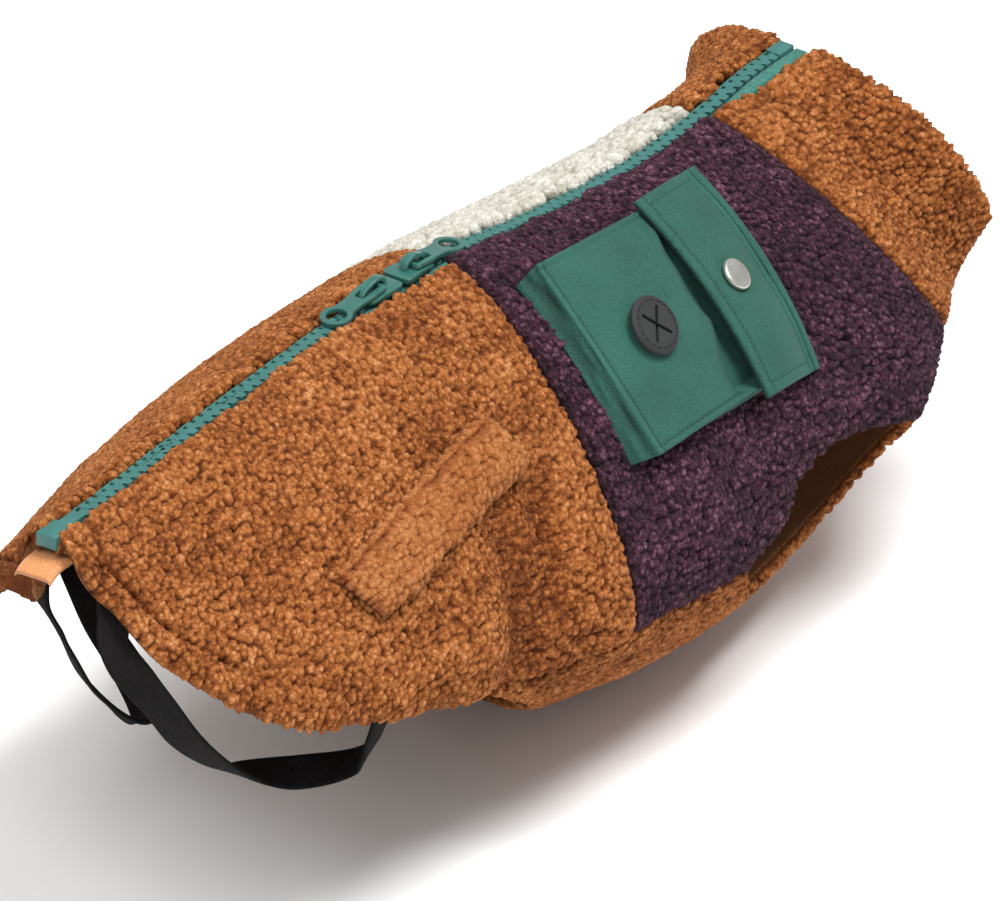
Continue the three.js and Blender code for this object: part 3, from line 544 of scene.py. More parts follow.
def pile_edge(x, side):
    """How far the pile's edge is: it leans over the tape, nearly to the teeth, and makes room for the
    sliders."""
    over = (2.7 if side < 0 else 2.2) + 0.5 * lattice_noise(x, 0 * x, 5.0, 15)
    room = smooth_step(-43, -38, x) * (1 - smooth_step(-3, 2, x))
    return zip_edge(x, side) - over * (1 - 0.6 * room) * (1 - 0.8 * smooth_step(138, 150, x) * (side < 0))


def back_place(side, x0, x1, low_edge, edge=zip_edge):
    def place(s, t):
        top_x = x0 + (x1 - x0) * s
        top_v = edge(top_x, side)
        low_x, low_v = low_edge(s)
        low_x, low_v = np.clip(low_x, x0, x1), low_v - GAP_MM / 2
        return top_x + (low_x - top_x) * t, side * (top_v + (low_v - top_v) * t)

    return place


CARAMEL = fleece_material(
    "caramel_curly_fleece", (0.150, 0.033, 0.006), (0.495, 0.158, 0.037), (0.830, 0.395, 0.165),
    (0.36, 0.15, 0.055),
    (1.0, 0.62, 0.36),
)
rear_edge = edge_path(REAR_HEM, FLANK_SEAM)
for side, side_name in ((-1, "right"), (1, "left")):
    rear = fleece_piece(
        "rear_fleece_" + side_name, *((400, 224) if side < 0 else (320, 180)), 4,
        back_place(side, TAIL_MM, SEAM_MM - GAP_MM / 2, rear_edge),
        {"start": "open", "end": "seam", "top": "open", "low": "open"}, CARAMEL,
        hems={"start": 9.5, "low": 9.5}, seed=21 if side < 0 else 47,
        pile_place=back_place(side, TAIL_MM, SEAM_MM - GAP_MM / 2, rear_edge, pile_edge),
    )
    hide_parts("rear_panel_" + side_name)
    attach(rear, "coat")

# ---- Shoulder panels: plum on the right, cream on the left ----
# The same curly fleece in other colours, sewn to the rear panels at the withers and to the collar, with
# half of each foreleg hole cut into the lower edge and turned in.
SHOULDER_SEAM = [(SEAM_MM, 129), (22, 129.6), (43, 131.5)]
ARMHOLE_UPPER = [
    (43, 131.5), (49.5, 127), (55.5, 121.5), (61, 112.5), (69, 110),
    (77, 110), (86, 115.5), (94, 124), (99, 131),
]
CHEST_SEAM = [(99, 131), (113, 133), (COLLAR_MM, 136)]
PLUM = fleece_material(
    "plum_curly_fleece", (0.006, 0.0015, 0.003), (0.058, 0.015, 0.027), (0.330, 0.150, 0.210),
    (0.05, 0.02, 0.03),
    (0.85, 0.6, 0.8),
)
CREAM = fleece_material(
    "cream_curly_fleece", (0.50, 0.46, 0.36), (0.76, 0.73, 0.63), (0.92, 0.90, 0.83), (0.74, 0.71, 0.62),
    (1.0, 1.0, 0.95), 2.0, 0.7,
)
shoulder_edge = edge_path(SHOULDER_SEAM, ARMHOLE_UPPER, CHEST_SEAM)
for side, side_name, fleece, slot in ((-1, "right", PLUM, "plum_fleece"), (1, "left", CREAM, "cream_fleece")):
    shoulder = fleece_piece(
        "shoulder_fleece_" + side_name, *((288, 252) if side < 0 else (232, 200)), 4,
        back_place(side, SEAM_MM + GAP_MM / 2, COLLAR_MM - GAP_MM / 2, shoulder_edge),
        {"start": "seam", "end": "seam", "top": "open", "low": "open"}, fleece, seed=61 if side < 0 else 83,
        size=2.0 if side < 0 else 3.1, rise=0.8 if side < 0 else 1.0,
        pile_place=back_place(side, SEAM_MM + GAP_MM / 2, COLLAR_MM - GAP_MM / 2, shoulder_edge, pile_edge),
    )
    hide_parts("shoulder_panel_" + side_name)
    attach(shoulder, "coat")

# ---- Belly and chest panel ----
# One piece of caramel fleece under the body, sewn along both sides, with the lower half of each foreleg
# hole cut out of it. Its rear hem runs up from under the belly to each flank.
ARMHOLE_LOWER = [(43, 131.5), (44, 142), (51, 154), (64, 160), (80, 158), (93, 147), (99, 131)]
BELLY_HEM = [(-52, 124), (-35, 139.5), (-15, 158), (0, 188), (6, 219)]
side_edge = edge_path(FLANK_SEAM, SHOULDER_SEAM, ARMHOLE_LOWER, CHEST_SEAM)
belly_hem = edge_path(BELLY_HEM)


def belly_place(s, t):
    across = 2 * t - 1
    inwards = 1 - np.abs(across)
    side_x, side_v = side_edge(s)
    hem_x, hem_v = belly_hem(inwards)
    front_x = COLLAR_MM - GAP_MM / 2
    centre_x = BELLY_HEM[-1][0] + (front_x - BELLY_HEM[-1][0]) * s
    side_x = np.minimum(side_x, front_x)
    x = side_x + (centre_x - side_x) * inwards
    bow = hem_x - (BELLY_HEM[0][0] + (BELLY_HEM[-1][0] - BELLY_HEM[0][0]) * inwards)
    x = x + bow * (1 - s) ** 3
    bent = (hem_v - BELLY_HEM[0][1]) / (BELLY_HEM[-1][1] - BELLY_HEM[0][1]) - inwards
    share = inwards + bent * (1 - s) ** 3
    v = side_v + GAP_MM / 2 + (half_girth(x) - side_v - GAP_MM / 2) * share
    return x, np.where(across < 0, -v, v)


belly = fleece_piece(
    "belly_fleece", 300, 280, 4, belly_place,
    {"start": "open", "end": "seam", "top": "open", "low": "open"}, CARAMEL, seed=101,
)
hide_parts("belly_panel")
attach(belly, "coat")

# ---- Collar ----
# A band of caramel fleece that stands round the neck, rounded over at the rim and open at the zip. It is
# sewn to the shoulder panels and the chest along its base.


def collar_place(s, t, edge=zip_edge):
    across = 2 * t - 1
    x = COLLAR_MM + GAP_MM / 2 + (RIM_MM - COLLAR_MM - GAP_MM / 2) * s
    start = np.where(across < 0, edge(x, -1), edge(x, 1))
    v = start + (half_girth(x) - start) * (1 - np.abs(across))
    return x, np.where(across < 0, -v, v)


collar = fleece_piece(
    "collar_fleece", 96, 600, 4, collar_place,
    {"start": "seam", "end": "open", "top": "open", "low": "open"}, CARAMEL, seed=131,
    pile_place=lambda s, t: collar_place(s, t, pile_edge),
)
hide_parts("collar")
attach(collar, "coat")

# ---- Flank welt ----
# A folded strip of the caramel fleece, sewn down along its upper edge and its ends over the right flank. Its
# lower edge stands free, soft and rounded, and shades the panel below it.
WELT_UPPER, WELT_LOWER = ((-103, 59.5), (-32, 48.2)), ((-92.5, 77.8), (-24.5, 67))
WELT_ROWS, WELT_COLUMNS = 192, 60
WELT_LONG, WELT_WIDE = 71, 20


def welt_place(s, t):
    upper, lower = (
        [start[k] + (end[k] - start[k]) * s for k in (0, 1)] for start, end in (WELT_UPPER, WELT_LOWER)
    )
    return upper[0] + (lower[0] - upper[0]) * t, -(upper[1] + (lower[1] - upper[1]) * t)


welt_s, welt_t = share_grid(WELT_ROWS, WELT_COLUMNS)
welt_x, welt_v = welt_place(welt_s, welt_t)
welt_curl, welt_dx, welt_dv = curls(welt_x, welt_v, 1.9, 171)[:3]
from_end = WELT_LONG * np.minimum(welt_s, 1 - welt_s)
from_upper, from_lower = WELT_WIDE * welt_t, WELT_WIDE * (1 - welt_t)
ragged = lattice_noise(welt_x, welt_v, 5.0, 173)
soft_rim = lambda distance, radius: radius - np.sqrt(radius**2 - (radius - np.clip(distance, 0, radius)) ** 2)
welt_level = 3.6 + 2.2 * np.sin(np.pi * np.clip(welt_t * 0.72 + 0.1, 0, 1))
welt_level = welt_level - soft_rim(from_lower, 4.2) * 0.85 - soft_rim(from_upper, 3.6) * 0.75
welt_level = welt_level - soft_rim(from_end, 3.6) * 0.8
stitched = (1.0 + 0.5 * ragged) * bell(from_upper - 2.4 - 0.9 * ragged, 0.9)
welt_level = welt_level - 1.5 * stitched + 0.55 * welt_curl + 0.55 * ragged
# Painted shade in the stitched groove and painted highlight on the curls' tops.
welt_tone = np.clip(0.62 + 0.26 * welt_curl - 0.45 * stitched, -0.2, 1.1)
welt_under = 0.35 + 1.05 * welt_t
welt_edge = np.minimum(np.minimum(from_upper, from_lower), from_end)
welt_move = np.clip(welt_edge / 1.0, 0.6, 1)
welt_long = np.array((WELT_UPPER[1][0] - WELT_UPPER[0][0], -(WELT_UPPER[1][1] - WELT_UPPER[0][1]))) / 72
welt_wide = np.array((welt_long[1], -welt_long[0]))
push_long = np.where(welt_s < 0.5, -1, 1) * np.exp(-from_end / 1.5) * (0.8 * welt_curl + 0.8 * ragged)
push_wide = (np.exp(-from_lower / 1.5) - np.exp(-from_upper / 1.5)) * (0.8 * welt_curl + 0.8 * ragged)
welt_dx = welt_dx * welt_move + push_long * welt_long[0] + push_wide * welt_wide[0]
welt_dv = welt_dv * welt_move + push_long * welt_long[1] + push_wide * welt_wide[1]
welt_outer = coat_point(welt_x + welt_dx, welt_v + welt_dv, np.maximum(welt_level, 0.8))
welt_inner = coat_point(welt_x[::4, ::4], welt_v[::4, ::4], welt_under[::4, ::4])
WELT_FLEECE = fleece_material(
    "brushed_caramel_fleece", (0.21, 0.047, 0.010), (0.41, 0.126, 0.029), (0.72, 0.32, 0.12),
    (0.36, 0.15, 0.055), (1.0, 0.64, 0.40), 1.2, 0.5,
)
welt = closed_sheet("flank_welt_fleece", welt_outer, welt_inner, welt_tone, WELT_FLEECE)
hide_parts("flank_welt")
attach(welt, "coat")

# ---- Zip tapes ----
# Two woven polyester tapes with the teeth molded along their inner edges, sewn flat under the fleece beside
# them.
ZIP_TAIL, ZIP_HEAD = -167.5, 163.5
CHAIN_TOP, CHAIN_BOTTOM = -0.9, -3.7
TAPE_TOP, TAPE_UNDER, TAPE_THICK, TAPE_INNER, TAPE_OUTER = -1.9, -4.9, 0.8, 2.75, 14.0
REST_MM = 0.35
DRIFT_MM, CLOUD_MM = 1000 / 70, 1000 / 260


def woven_material(name, color, dark, thread_mm, roughness, sheen, bump_mm, speckle=0.5, gloss=0.3):
    """Plain woven cloth: fine crossing threads, a few of them darker, with a soft shade drift."""
    made = new_material(name)
    tone = tone_of(made)
    weave = {"Scale": 1000 / (1.6 * thread_mm), "Vector": object_place(made)}
    weave = add_node(made, "TexVoronoi", weave)["Distance"]
    blended = sum_of(made, weave, speckle, noise(made, thread_mm, 1)["Fac"])
    level = sum_of(made, noise(made, DRIFT_MM, 2)["Fac"], 0.22, blended)
    # The piece's tone adds painted shade in creases and grooves and painted highlight on ridges; the inside's
    # tone (-1) is left out.
    creased = spread(made, sum_of(made, tone, reckon(made, "GREATER_THAN", tone, -0.9), level), 0.20, 1.20)
    bright = [min(1, c * 1.35) for c in color]
    return finished(made, {
        "Base Color": ramp(made, creased, (0.25, dark), (1.0, bright), (0.66, color)),
        "Normal": bump(made, blended, 0.6, bump_mm / 1000),
        "Roughness": roughness, "Specular IOR Level": gloss, "Sheen Weight": sheen,
    })


ZIP_TAPE = woven_material(
    "teal_zip_tape", (0.036, 0.145, 0.118), (0.012, 0.050, 0.042), 0.55, 0.85, 0.1, 0.25
)
for side, side_name in ((-1, "right"), (1, "left")):
    tape_s, tape_t = np.meshgrid(np.linspace(0, 1, 481), np.linspace(0, 3, 19), indexing="ij")
    tape_x = ZIP_TAIL + REST_MM + (RIM_MM - 1.5 - ZIP_TAIL - REST_MM) * tape_s
    edge = zip_edge(tape_x, side)
    stops = np.stack([TAPE_INNER + 0 * edge, edge - 3.2, edge - 1.6, TAPE_OUTER + edge - EDGE_MM], -1)
    span = np.minimum(tape_t.astype(int), 2)
    low_stop, high_stop = (np.take_along_axis(stops, (span + k)[..., None], -1)[..., 0] for k in (0, 1))
    tape_v = low_stop + (high_stop - low_stop) * (tape_t - span)
    tape_lift = TAPE_TOP + (TAPE_UNDER - TAPE_TOP) * np.clip(tape_t - 1, 0, 1)
    ribs = 0.06 * np.sin(tape_x * 2 * np.pi / 1.6) * (tape_t < 1)
    tape_outer = coat_point(tape_x, side * tape_v, tape_lift + ribs)
    tape_inner = coat_point(tape_x[::4, ::3], side * tape_v[::4, ::3], tape_lift[::4, ::3] - TAPE_THICK)
    tape = closed_sheet("zip_tape_cloth_" + side_name, tape_outer, tape_inner, 0 * tape_x, ZIP_TAPE)
    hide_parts("zip_tape_" + side_name)
    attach(tape, "coat")

# ---- Zip teeth ----
# Molded plastic teeth, one each 3.55 mm on each tape, the two rows locked head between heads from each
# slider to its end of the zip. One tooth has a wide foot on the tape, a neck and a flared head.
TOOTH_PITCH, TOOTH_FOOT, TOOTH_NECK, TOOTH_HEAD, TOOTH_TIP = 3.55, 1.2, 0.5, 0.9, 0.5
NOSE_REAR, NOSE_FRONT, NOSE_CLEAR = -21.3, -19.7, 2.55
PIN_X = -161.0


def plastic_material(name, color, roughness, grain_mm, wear=0.12, metal=0.0, coat=0.0):
    """Molded or painted finish: an even colour with a faint cloudy shade and a very fine satin grain."""
    made = new_material(name)
    cloud = noise(made, CLOUD_MM, 3)["Fac"]
    dull, bright = [c * (1 - wear) for c in color], [min(1, c * (1 + wear)) for c in color]
    return finished(made, {
        "Base Color": ramp(made, cloud, (0.3, dull), (0.7, bright)),
        "Normal": bump(made, noise(made, grain_mm, 2)["Fac"], 0.15, 0.0001),
        "Roughness": spread(made, cloud, to=(roughness - 0.06, roughness + 0.08)),
        "Metallic": metal, "Coat Weight": coat, "Coat Roughness": 0.22,
    })


def round_edges(piece, width, segments, degrees):
    """Bevels the active object's edges that turn by more than that angle."""
    rounding = piece.modifiers.new("rounded", "BEVEL")
    rounding.width, rounding.segments = width, segments
    rounding.limit_method, rounding.angle_limit = "ANGLE", math.radians(degrees)
    bpy.ops.object.modifier_apply(modifier=rounding.name)


def axes_at(along, across, out, at):
    """A placing with those three directions as its axes."""
    place = Matrix((along, across, out)).transposed().to_4x4()
    place.translation = at
    return place


def select_faces(mesh_object, wanted):
    """In edit mode, selects just the faces whose middle and normal pass the test."""
    edit = bmesh.from_edit_mesh(mesh_object.data)
    for face in edit.faces:
        face.select_set(bool(wanted(face.calc_center_median(), face.normal)))
    edit.select_flush(True)
    bmesh.update_edit_mesh(mesh_object.data)


def new_tooth():
    """A tooth on the +Y tape, foot outermost, in millimetres, its middle height at z = 0."""
    bpy.ops.mesh.primitive_cube_add(size=1, location=(0, 1.9, 0))
    tooth = bpy.context.object
    tooth.scale = (2 * TOOTH_FOOT, 1.1, CHAIN_TOP - CHAIN_BOTTOM)
    bpy.ops.object.transform_apply(location=True, rotation=True, scale=True)
    bpy.ops.object.mode_set(mode="EDIT")
    bpy.ops.mesh.select_mode(type="FACE")
    for depth, width in (
        (0.25, TOOTH_NECK / TOOTH_FOOT), (1.7, TOOTH_HEAD / TOOTH_NECK), (0.25, TOOTH_TIP / TOOTH_HEAD)
    ):
        select_faces(tooth, lambda middle, normal: normal.y < -0.9)
        bpy.ops.mesh.extrude_region_move(TRANSFORM_OT_translate={"value": (0, -depth, 0)})
        bpy.ops.transform.resize(value=(width, 1, 1))
    bpy.ops.object.mode_set(mode="OBJECT")
    round_edges(tooth, 0.26, 1, 50)
    return tooth


def line_frame(x, lift):
    """On the zip line at station x: along the zip, across it, and out, in metres."""
    ahead = coat_point(x + 1.0, 0.0, lift) - coat_point(x - 1.0, 0.0, lift)
    along, across = Vector(ahead).normalized(), Vector((0, 1, 0))
    out = along.cross(across).normalized()
    return axes_at(along, across, out, Vector(coat_point(x, 0.0, lift)))


def repeated(name, model, places, material):
    """One mesh with a copy of the model, in millimetres, at each place, and the model itself removed."""
    co = np.array([tuple(vertex.co) for vertex in model.data.vertices]) / 1000
    faces = [tuple(polygon.vertices) for polygon in model.data.polygons]
    points, all_faces = [], []
    for place in places:
        turn = np.array(place)
        base = len(points) * len(co)
        points.append(co @ turn[:3, :3].T + turn[:3, 3])
        flipped = np.linalg.det(turn[:3, :3]) < 0
        all_faces += [tuple(base + k for k in (face[::-1] if flipped else face)) for face in faces]
    mesh = bpy.data.meshes.new(name)
    mesh.from_pydata(np.vstack(points).tolist(), [], all_faces)
    mesh.materials.append(material)
    made = bpy.data.objects.new(name, mesh)
    bpy.context.collection.objects.link(made)
    bpy.data.objects.remove(model, do_unlink=True)
    return made


ZIP_PLASTIC = plastic_material("teal_molded_zip", (0.030, 0.128, 0.116), 0.50, 0.3)
chain_middle = (CHAIN_TOP + CHAIN_BOTTOM) / 2
for end_name, x0, x1 in (
    ("rear", PIN_X + REST_MM, NOSE_REAR - NOSE_CLEAR),
    ("front", NOSE_FRONT + NOSE_CLEAR, ZIP_HEAD - REST_MM),
):
    count = int((x1 - x0 - 2 * TOOTH_FOOT) / (TOOTH_PITCH / 2)) + 1
    step = (x1 - x0 - 2 * TOOTH_FOOT) / (count - 1)
    places = []
    for k in range(count):
        place = line_frame(x0 + TOOTH_FOOT + step * k, chain_middle)
        places.append(place @ Matrix.Diagonal((1, 1 if k % 2 else -1, 1, 1)))
    teeth = repeated("zip_teeth_" + end_name, new_tooth(), places, ZIP_PLASTIC)
    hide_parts("zip_chain_" + end_name)
    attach(teeth, "coat")

# ---- Zip end box and top stop ----
# Both are molded on the tapes' ends in the teeth's own plastic. The box holds the pin; the stop is one
# plain bar.


def finished_copy(node, name, material, bevel_mm, body, flatten=None):
    """The frame's solid as a merged copy with rounded edges. flatten, a point and a direction, cuts off what
    stands beyond it."""
    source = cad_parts[node]
    piece = source.copy()
    piece.data = source.data.copy()
    piece.name = name
    piece.parent = None
    piece.data.materials.clear()
    piece.data.materials.append(material)
    bpy.context.collection.objects.link(piece)
    bpy.ops.object.select_all(action="DESELECT")
    bpy.context.view_layer.objects.active = piece
    piece.select_set(True)
    bpy.ops.object.mode_set(mode="EDIT")
    bpy.ops.mesh.select_all(action="SELECT")
    bpy.ops.mesh.remove_doubles(threshold=2e-6)
    if flatten:
        bpy.ops.mesh.bisect(
            plane_co=flatten[0], plane_no=flatten[1], use_fill=True, clear_outer=True, threshold=1e-6
        )
        bpy.ops.mesh.select_all(action="SELECT")
    bpy.ops.mesh.dissolve_limited(angle_limit=math.radians(1.5))
    bpy.ops.object.mode_set(mode="OBJECT")
    round_edges(piece, bevel_mm / 1000, 3, 38)
    bpy.ops.object.shade_smooth_by_angle(angle=math.radians(40))
    piece.select_set(False)
    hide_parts(node)
    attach(piece, body)
    return piece


finished_copy("zip_end_box", "zip_box_and_pin", ZIP_PLASTIC, 0.8, "coat")
finished_copy("zip_top_stop", "zip_stop_bar", ZIP_PLASTIC, 0.4, "coat")

# ---- Sliders and pull tabs ----
# Die-cast zinc painted to match the tape, the two sliders nose to nose. Each has an upper and a lower plate
# joined at the nose and an arched bridge, and its long tab turns on a crossbar under the bridge.
SLIDER_LENGTH, PLATE_TOP = 14.0, 1.1
BRIDGE = [
    (-3.4, 1.0), (-4.0, 3.4), (-5.4, 4.7), (-7.6, 5.0), (-9.9, 4.6), (-12.2, 3.5), (-14.0, 1.9), (-14.4, 0.4),
]
BRIDGE_HALF = [1.15, 1.3, 1.35, 1.3, 1.15, 1.0, 0.85, 0.8]
BRIDGE_THICK = 1.35
PAINT = plastic_material("teal_painted_zinc", (0.026, 0.112, 0.092), 0.26, 0.25, 0.08, coat=0.35)


def slider_frame(nose, turn):
    tail = nose - SLIDER_LENGTH * turn
    nose_z, tail_z = (float(coat_point(x, 0.0)[2]) for x in (nose, tail))
    place = Matrix.Rotation(math.atan2((tail_z - nose_z) * 1000, SLIDER_LENGTH), 4, "Y")
    place = Matrix.Rotation(0 if turn > 0 else math.pi, 4, "Z") @ place
    place.translation = Vector((nose / 1000, 0, nose_z))
    return place


def arched_bridge(name, place):
    """A bar bent over the crossbar, widest at its crown: extruded ring by ring from the nose to the tail."""
    bpy.ops.mesh.primitive_plane_add(size=1, location=(0, 0, 0))
    bridge = bpy.context.object
    bridge.name = name
    bpy.ops.object.mode_set(mode="EDIT")
    for _ in range(len(BRIDGE) - 1):
        bpy.ops.mesh.extrude_region_move(TRANSFORM_OT_translate={"value": (0, 0, 1)})
    bpy.ops.object.mode_set(mode="OBJECT")
    middle_line = np.array(BRIDGE)
    tangent = unit(np.gradient(middle_line, axis=0))
    for vertex in bridge.data.vertices:
        k = round(vertex.co.z)
        inwards = np.array((-tangent[k, 1], tangent[k, 0])) * (1 if vertex.co.x > 0 else 0) * BRIDGE_THICK
        x, z = middle_line[k] + inwards
        vertex.co = place @ Vector((x / 1000, 2 * vertex.co.y * BRIDGE_HALF[k] / 1000, z / 1000))
    bpy.ops.object.mode_set(mode="EDIT")
    bpy.ops.mesh.select_all(action="SELECT")
    bpy.ops.mesh.remove_doubles(threshold=1e-7)
    bpy.ops.mesh.normals_make_consistent(inside=False)
    bpy.ops.object.mode_set(mode="OBJECT")
    round_edges(bridge, 0.00022, 2, 60)
    rounded = bridge.modifiers.new("shape", "SUBSURF")
    rounded.levels = rounded.render_levels = 2
    bpy.ops.object.modifier_apply(modifier=rounded.name)
    bpy.ops.object.shade_smooth()
    bridge.data.materials.append(PAINT)
    bridge.select_set(False)
    return bridge


for end_name, nose, turn in (("rear", NOSE_REAR, 1), ("front", NOSE_FRONT, -1)):
    place = slider_frame(nose, turn)
    plate = place @ Vector((0, 0, (PLATE_TOP - 0.001) / 1000))
    finished_copy(
        "slider_" + end_name, "slider_plates_" + end_name, PAINT, 0.38, "coat",
        flatten=(plate, place.to_3x3() @ Vector((0, 0, 1))),
    )
    bridge = arched_bridge("slider_bridge_" + end_name, place)
    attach(bridge, "coat")
    finished_copy(
        "pull_tab_" + end_name, "pull_tab_painted_" + end_name, PAINT, 0.36, "tab_" + end_name
    )

# ---- Zip backing ----
# A small smooth tab of satin, folded back on itself, under the zip's tail end. It is sewn in beneath the end
# box and hangs just below the hem.
BACKING_TAIL, BACKING_HEAD, BACKING_HALF, BACKING_TOP, BACKING_THICK = -182.0, -160.0, 6.5, -7.3, 1.0
backing_s, backing_t = np.meshgrid(np.linspace(0, 1, 61), np.linspace(-1, 1, 41), indexing="ij")
backing_x = BACKING_TAIL + (BACKING_HEAD - BACKING_TAIL) * backing_s
backing_lift = BACKING_TOP - 0.06 * np.maximum(0, -176 - backing_x) ** 2
backing_lift = backing_lift + 0.10 * lattice_noise(backing_x, BACKING_HALF * backing_t, 4.0, 191)
backing_rim = np.clip(np.abs(backing_t) * BACKING_HALF - 5.9, 0, 0.6)
backing_round = 0.45 * (1 - np.sqrt(1 - backing_rim**2 / 0.36 * 0.98))
SATIN = woven_material("tan_satin", (0.62, 0.27, 0.10), (0.42, 0.15, 0.05), 0.35, 0.6, 0.2, 0.1, 0.2)
backing = closed_sheet(
    "zip_backing_satin",
    coat_point(backing_x, BACKING_HALF * backing_t, backing_lift - backing_round),
    coat_point(
        backing_x[::2, ::2], BACKING_HALF * backing_t[::2, ::2], backing_lift[::2, ::2] - BACKING_THICK
    ),
    0 * backing_x, SATIN,
)
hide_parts("zip_backing")
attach(backing, "coat")

# ---- Bellows pocket ----
# Green nylon canvas, one bag with a gusset at the tail end and along both sides, sewn to the plum panel on
# three sides and open towards the head. A folded seam stands along the edges of its face, topstitched.
CHORD_OUT = unit(np.array((0.02, -0.714, 0.7)))
POCKET_TAIL, POCKET_MOUTH, POCKET_BASE_TAIL, POCKET_BASE = 13.3, 80.0, 8.6, (22.5, 82.4)
POCKET_UPPER = np.array([(13.3, -24.4, 2.4), (66.5, -21.8, -3.9), (80, -21.3, -5.9)])
POCKET_LOWER = np.array([(12.2, -68.2, -44.1), (65.9, -65.6, -46.9), (80, -64.8, -48.4)])
POCKET_LEAN, POCKET_WALL = 1.1, 1.0
# The mouth's edge rolls down into the pocket along this line: share of the width from the upper edge, and x.
MOUTH_FOLD = [(0, 64), (0.12, 65), (0.24, 60.5), (0.43, 56), (0.61, 60), (0.74, 56), (0.88, 54), (1, 54)]


def rail(rows, x):
    return np.stack([x, np.interp(x, rows[:, 0], rows[:, 1]), np.interp(x, rows[:, 0], rows[:, 2])], -1)


def face_point(x, b, lift=0.0):
    """A point of the pocket's face in millimetres: x towards the head, b from its upper (0) to its lower
    edge."""
    x, b = paired(x, b)
    sag = 0.8 + 4.8 * smooth_step(POCKET_TAIL, 36, x) - 1.8 * smooth_step(44, 70, x)
    bulge = 4 * b * (1 - b) * (1 + POCKET_LEAN * (0.5 - b))
    upper, lower = rail(POCKET_UPPER, x), rail(POCKET_LOWER, x)
    return upper + (lower - upper) * b[..., None] + CHORD_OUT * (sag * bulge + lift)[..., None]


def panel_point(x, v, lift):
    """A point over the right panel at a given x and girth, in millimetres."""
    x, v = paired(x, v)
    station = x.copy()
    for _ in range(8):
        station = station + x - on_body(station, -v)[0][..., 0]
    return coat_point(station, -v, lift) * 1000


GUSSET_STEPS, FACE_ROWS, FACE_COLUMNS = 16, 150, 144
POCKET_DEEP, TAIL_SEAM, SIDE_SEAM = 64.0, 2.7, 2.1


def pocket_surface(inset):
    """The bag's outer (inset 0) or inner (inset 1) surface as one grid of points in millimetres."""
    wall = inset * POCKET_WALL
    rows = np.concatenate([np.linspace(0, 1, GUSSET_STEPS, endpoint=False), np.ones(FACE_ROWS + 1)])
    x_of_row = np.concatenate([
        np.full(GUSSET_STEPS, POCKET_TAIL + wall),
        np.linspace(POCKET_TAIL + wall, POCKET_MOUTH, FACE_ROWS + 1),
    ])
    side = np.concatenate([
        np.linspace(0, 1, GUSSET_STEPS, endpoint=False), np.ones(FACE_COLUMNS + 1),
        np.linspace(1, 0, GUSSET_STEPS + 1)[1:],
    ])
    b_of_column = np.concatenate([
        np.zeros(GUSSET_STEPS), np.linspace(0, 1, FACE_COLUMNS + 1), np.ones(GUSSET_STEPS)
    ])
    g, x = rows[:, None] + 0 * side, x_of_row[:, None] + 0 * side
    h, b = side[None] + 0 * rows[:, None], b_of_column[None] + 0 * rows[:, None]
    width = np.linalg.norm(rail(POCKET_UPPER, x) - rail(POCKET_LOWER, x), axis=-1)
    inner_b = wall / width + (1 - 2 * wall / width) * b
    from_tail, from_upper, from_lower = x - POCKET_TAIL, b * width, (1 - b) * width
    relief = 0.55 * bell(from_tail - 1.0, 1.1) - 0.38 * bell(from_tail - TAIL_SEAM, 0.45)
    for away in (from_upper, from_lower):
        relief = relief + 0.4 * bell(away - 0.8, 0.8) - 0.25 * bell(away - SIDE_SEAM, 0.4)
    down = b * POCKET_DEEP
    soft = 1.3 * lattice_noise(x, down, 21.0, 203) + 0.6 * lattice_noise(x, down, 10.0, 204)
    soft = soft * smooth_step(0, 12, from_tail) * smooth_step(0, 9, np.minimum(from_upper, from_lower))
    fold_b, fold_x = np.array(MOUTH_FOLD).T
    fold = np.interp(b, fold_b, fold_x) + 0.6 * np.sin(b * 21)
    drop = -4.4 * smooth_step(-1.5, 8.0, x - fold) * smooth_step(0, 0.10, b) * smooth_step(0, 0.07, 1 - b)
    face = face_point(x, inner_b, np.where(inset, 0.6 * soft + drop, relief + soft + drop) - wall)
    girth = POCKET_BASE[0] + wall + (POCKET_BASE[1] - POCKET_BASE[0] - 2 * wall) * b
    lift = REST_MM * np.ones(x.shape)
    tail_base = panel_point(np.full(x.shape, POCKET_BASE_TAIL + wall), girth, lift)
    side_base = panel_point(x, girth, lift)
    base = np.where((h < 1)[..., None], tail_base + (side_base - tail_base) * g[..., None], tail_base)
    on_face = (g >= 1) & (h >= 1)
    share = np.where(h < 1, h, g)[..., None]
    corner = (g < 1) & (h < 1)
    down_tail = tail_base + (face - tail_base) * g[..., None]
    points = np.where(on_face[..., None], face, base + (face - base) * share)
    points = np.where(corner[..., None], base + (down_tail - base) * h[..., None], points)
    # The gussets are slack: they buckle a little between the seam and the panel.
    outwards = np.stack([-np.ones(x.shape), -0.3 + 0 * x, 0.2 + 0 * x], -1) * (g < 1)[..., None]
    sideways = np.stack([0 * x, np.where(b < 0.5, 0.5, -0.7), np.where(b < 0.5, 0.9, -0.7)], -1)
    outwards = outwards + sideways * ((g >= 1) & (h < 1))[..., None]
    buckle = np.sin(np.pi * np.where(h < 1, h, g)) * (~on_face)
    wave = 0.9 * lattice_noise(x + 40 * g, down, 10.0, 207)
    wave = wave + 0.5 * lattice_noise(x + 9 * h, down + 3 * g, 5.0, 208)
    wave = np.where(g < 1, wave - 0.5, 0.6 * wave)
    # Painted highlight along the tail fold's edge, painted shade in the stitched grooves, and soft blotches
    # of painted light and shade.
    tone = 0.14 * bell(from_tail - 0.9, 0.8) - 0.32 * bell(from_tail - TAIL_SEAM, 0.45)
    tone = tone - 0.2 * bell(from_lower - SIDE_SEAM, 0.5) + 0.1 * lattice_noise(x, down, 12.0, 211)
    # Gussets: painted shade all over, lighter on the bulges of their buckles and darker in the dents.
    tone = np.where(on_face, tone, 0.22 * wave * buckle - 0.12)
    return points + outwards * (buckle * wave)[..., None], np.clip(tone, -0.8, 0.4)


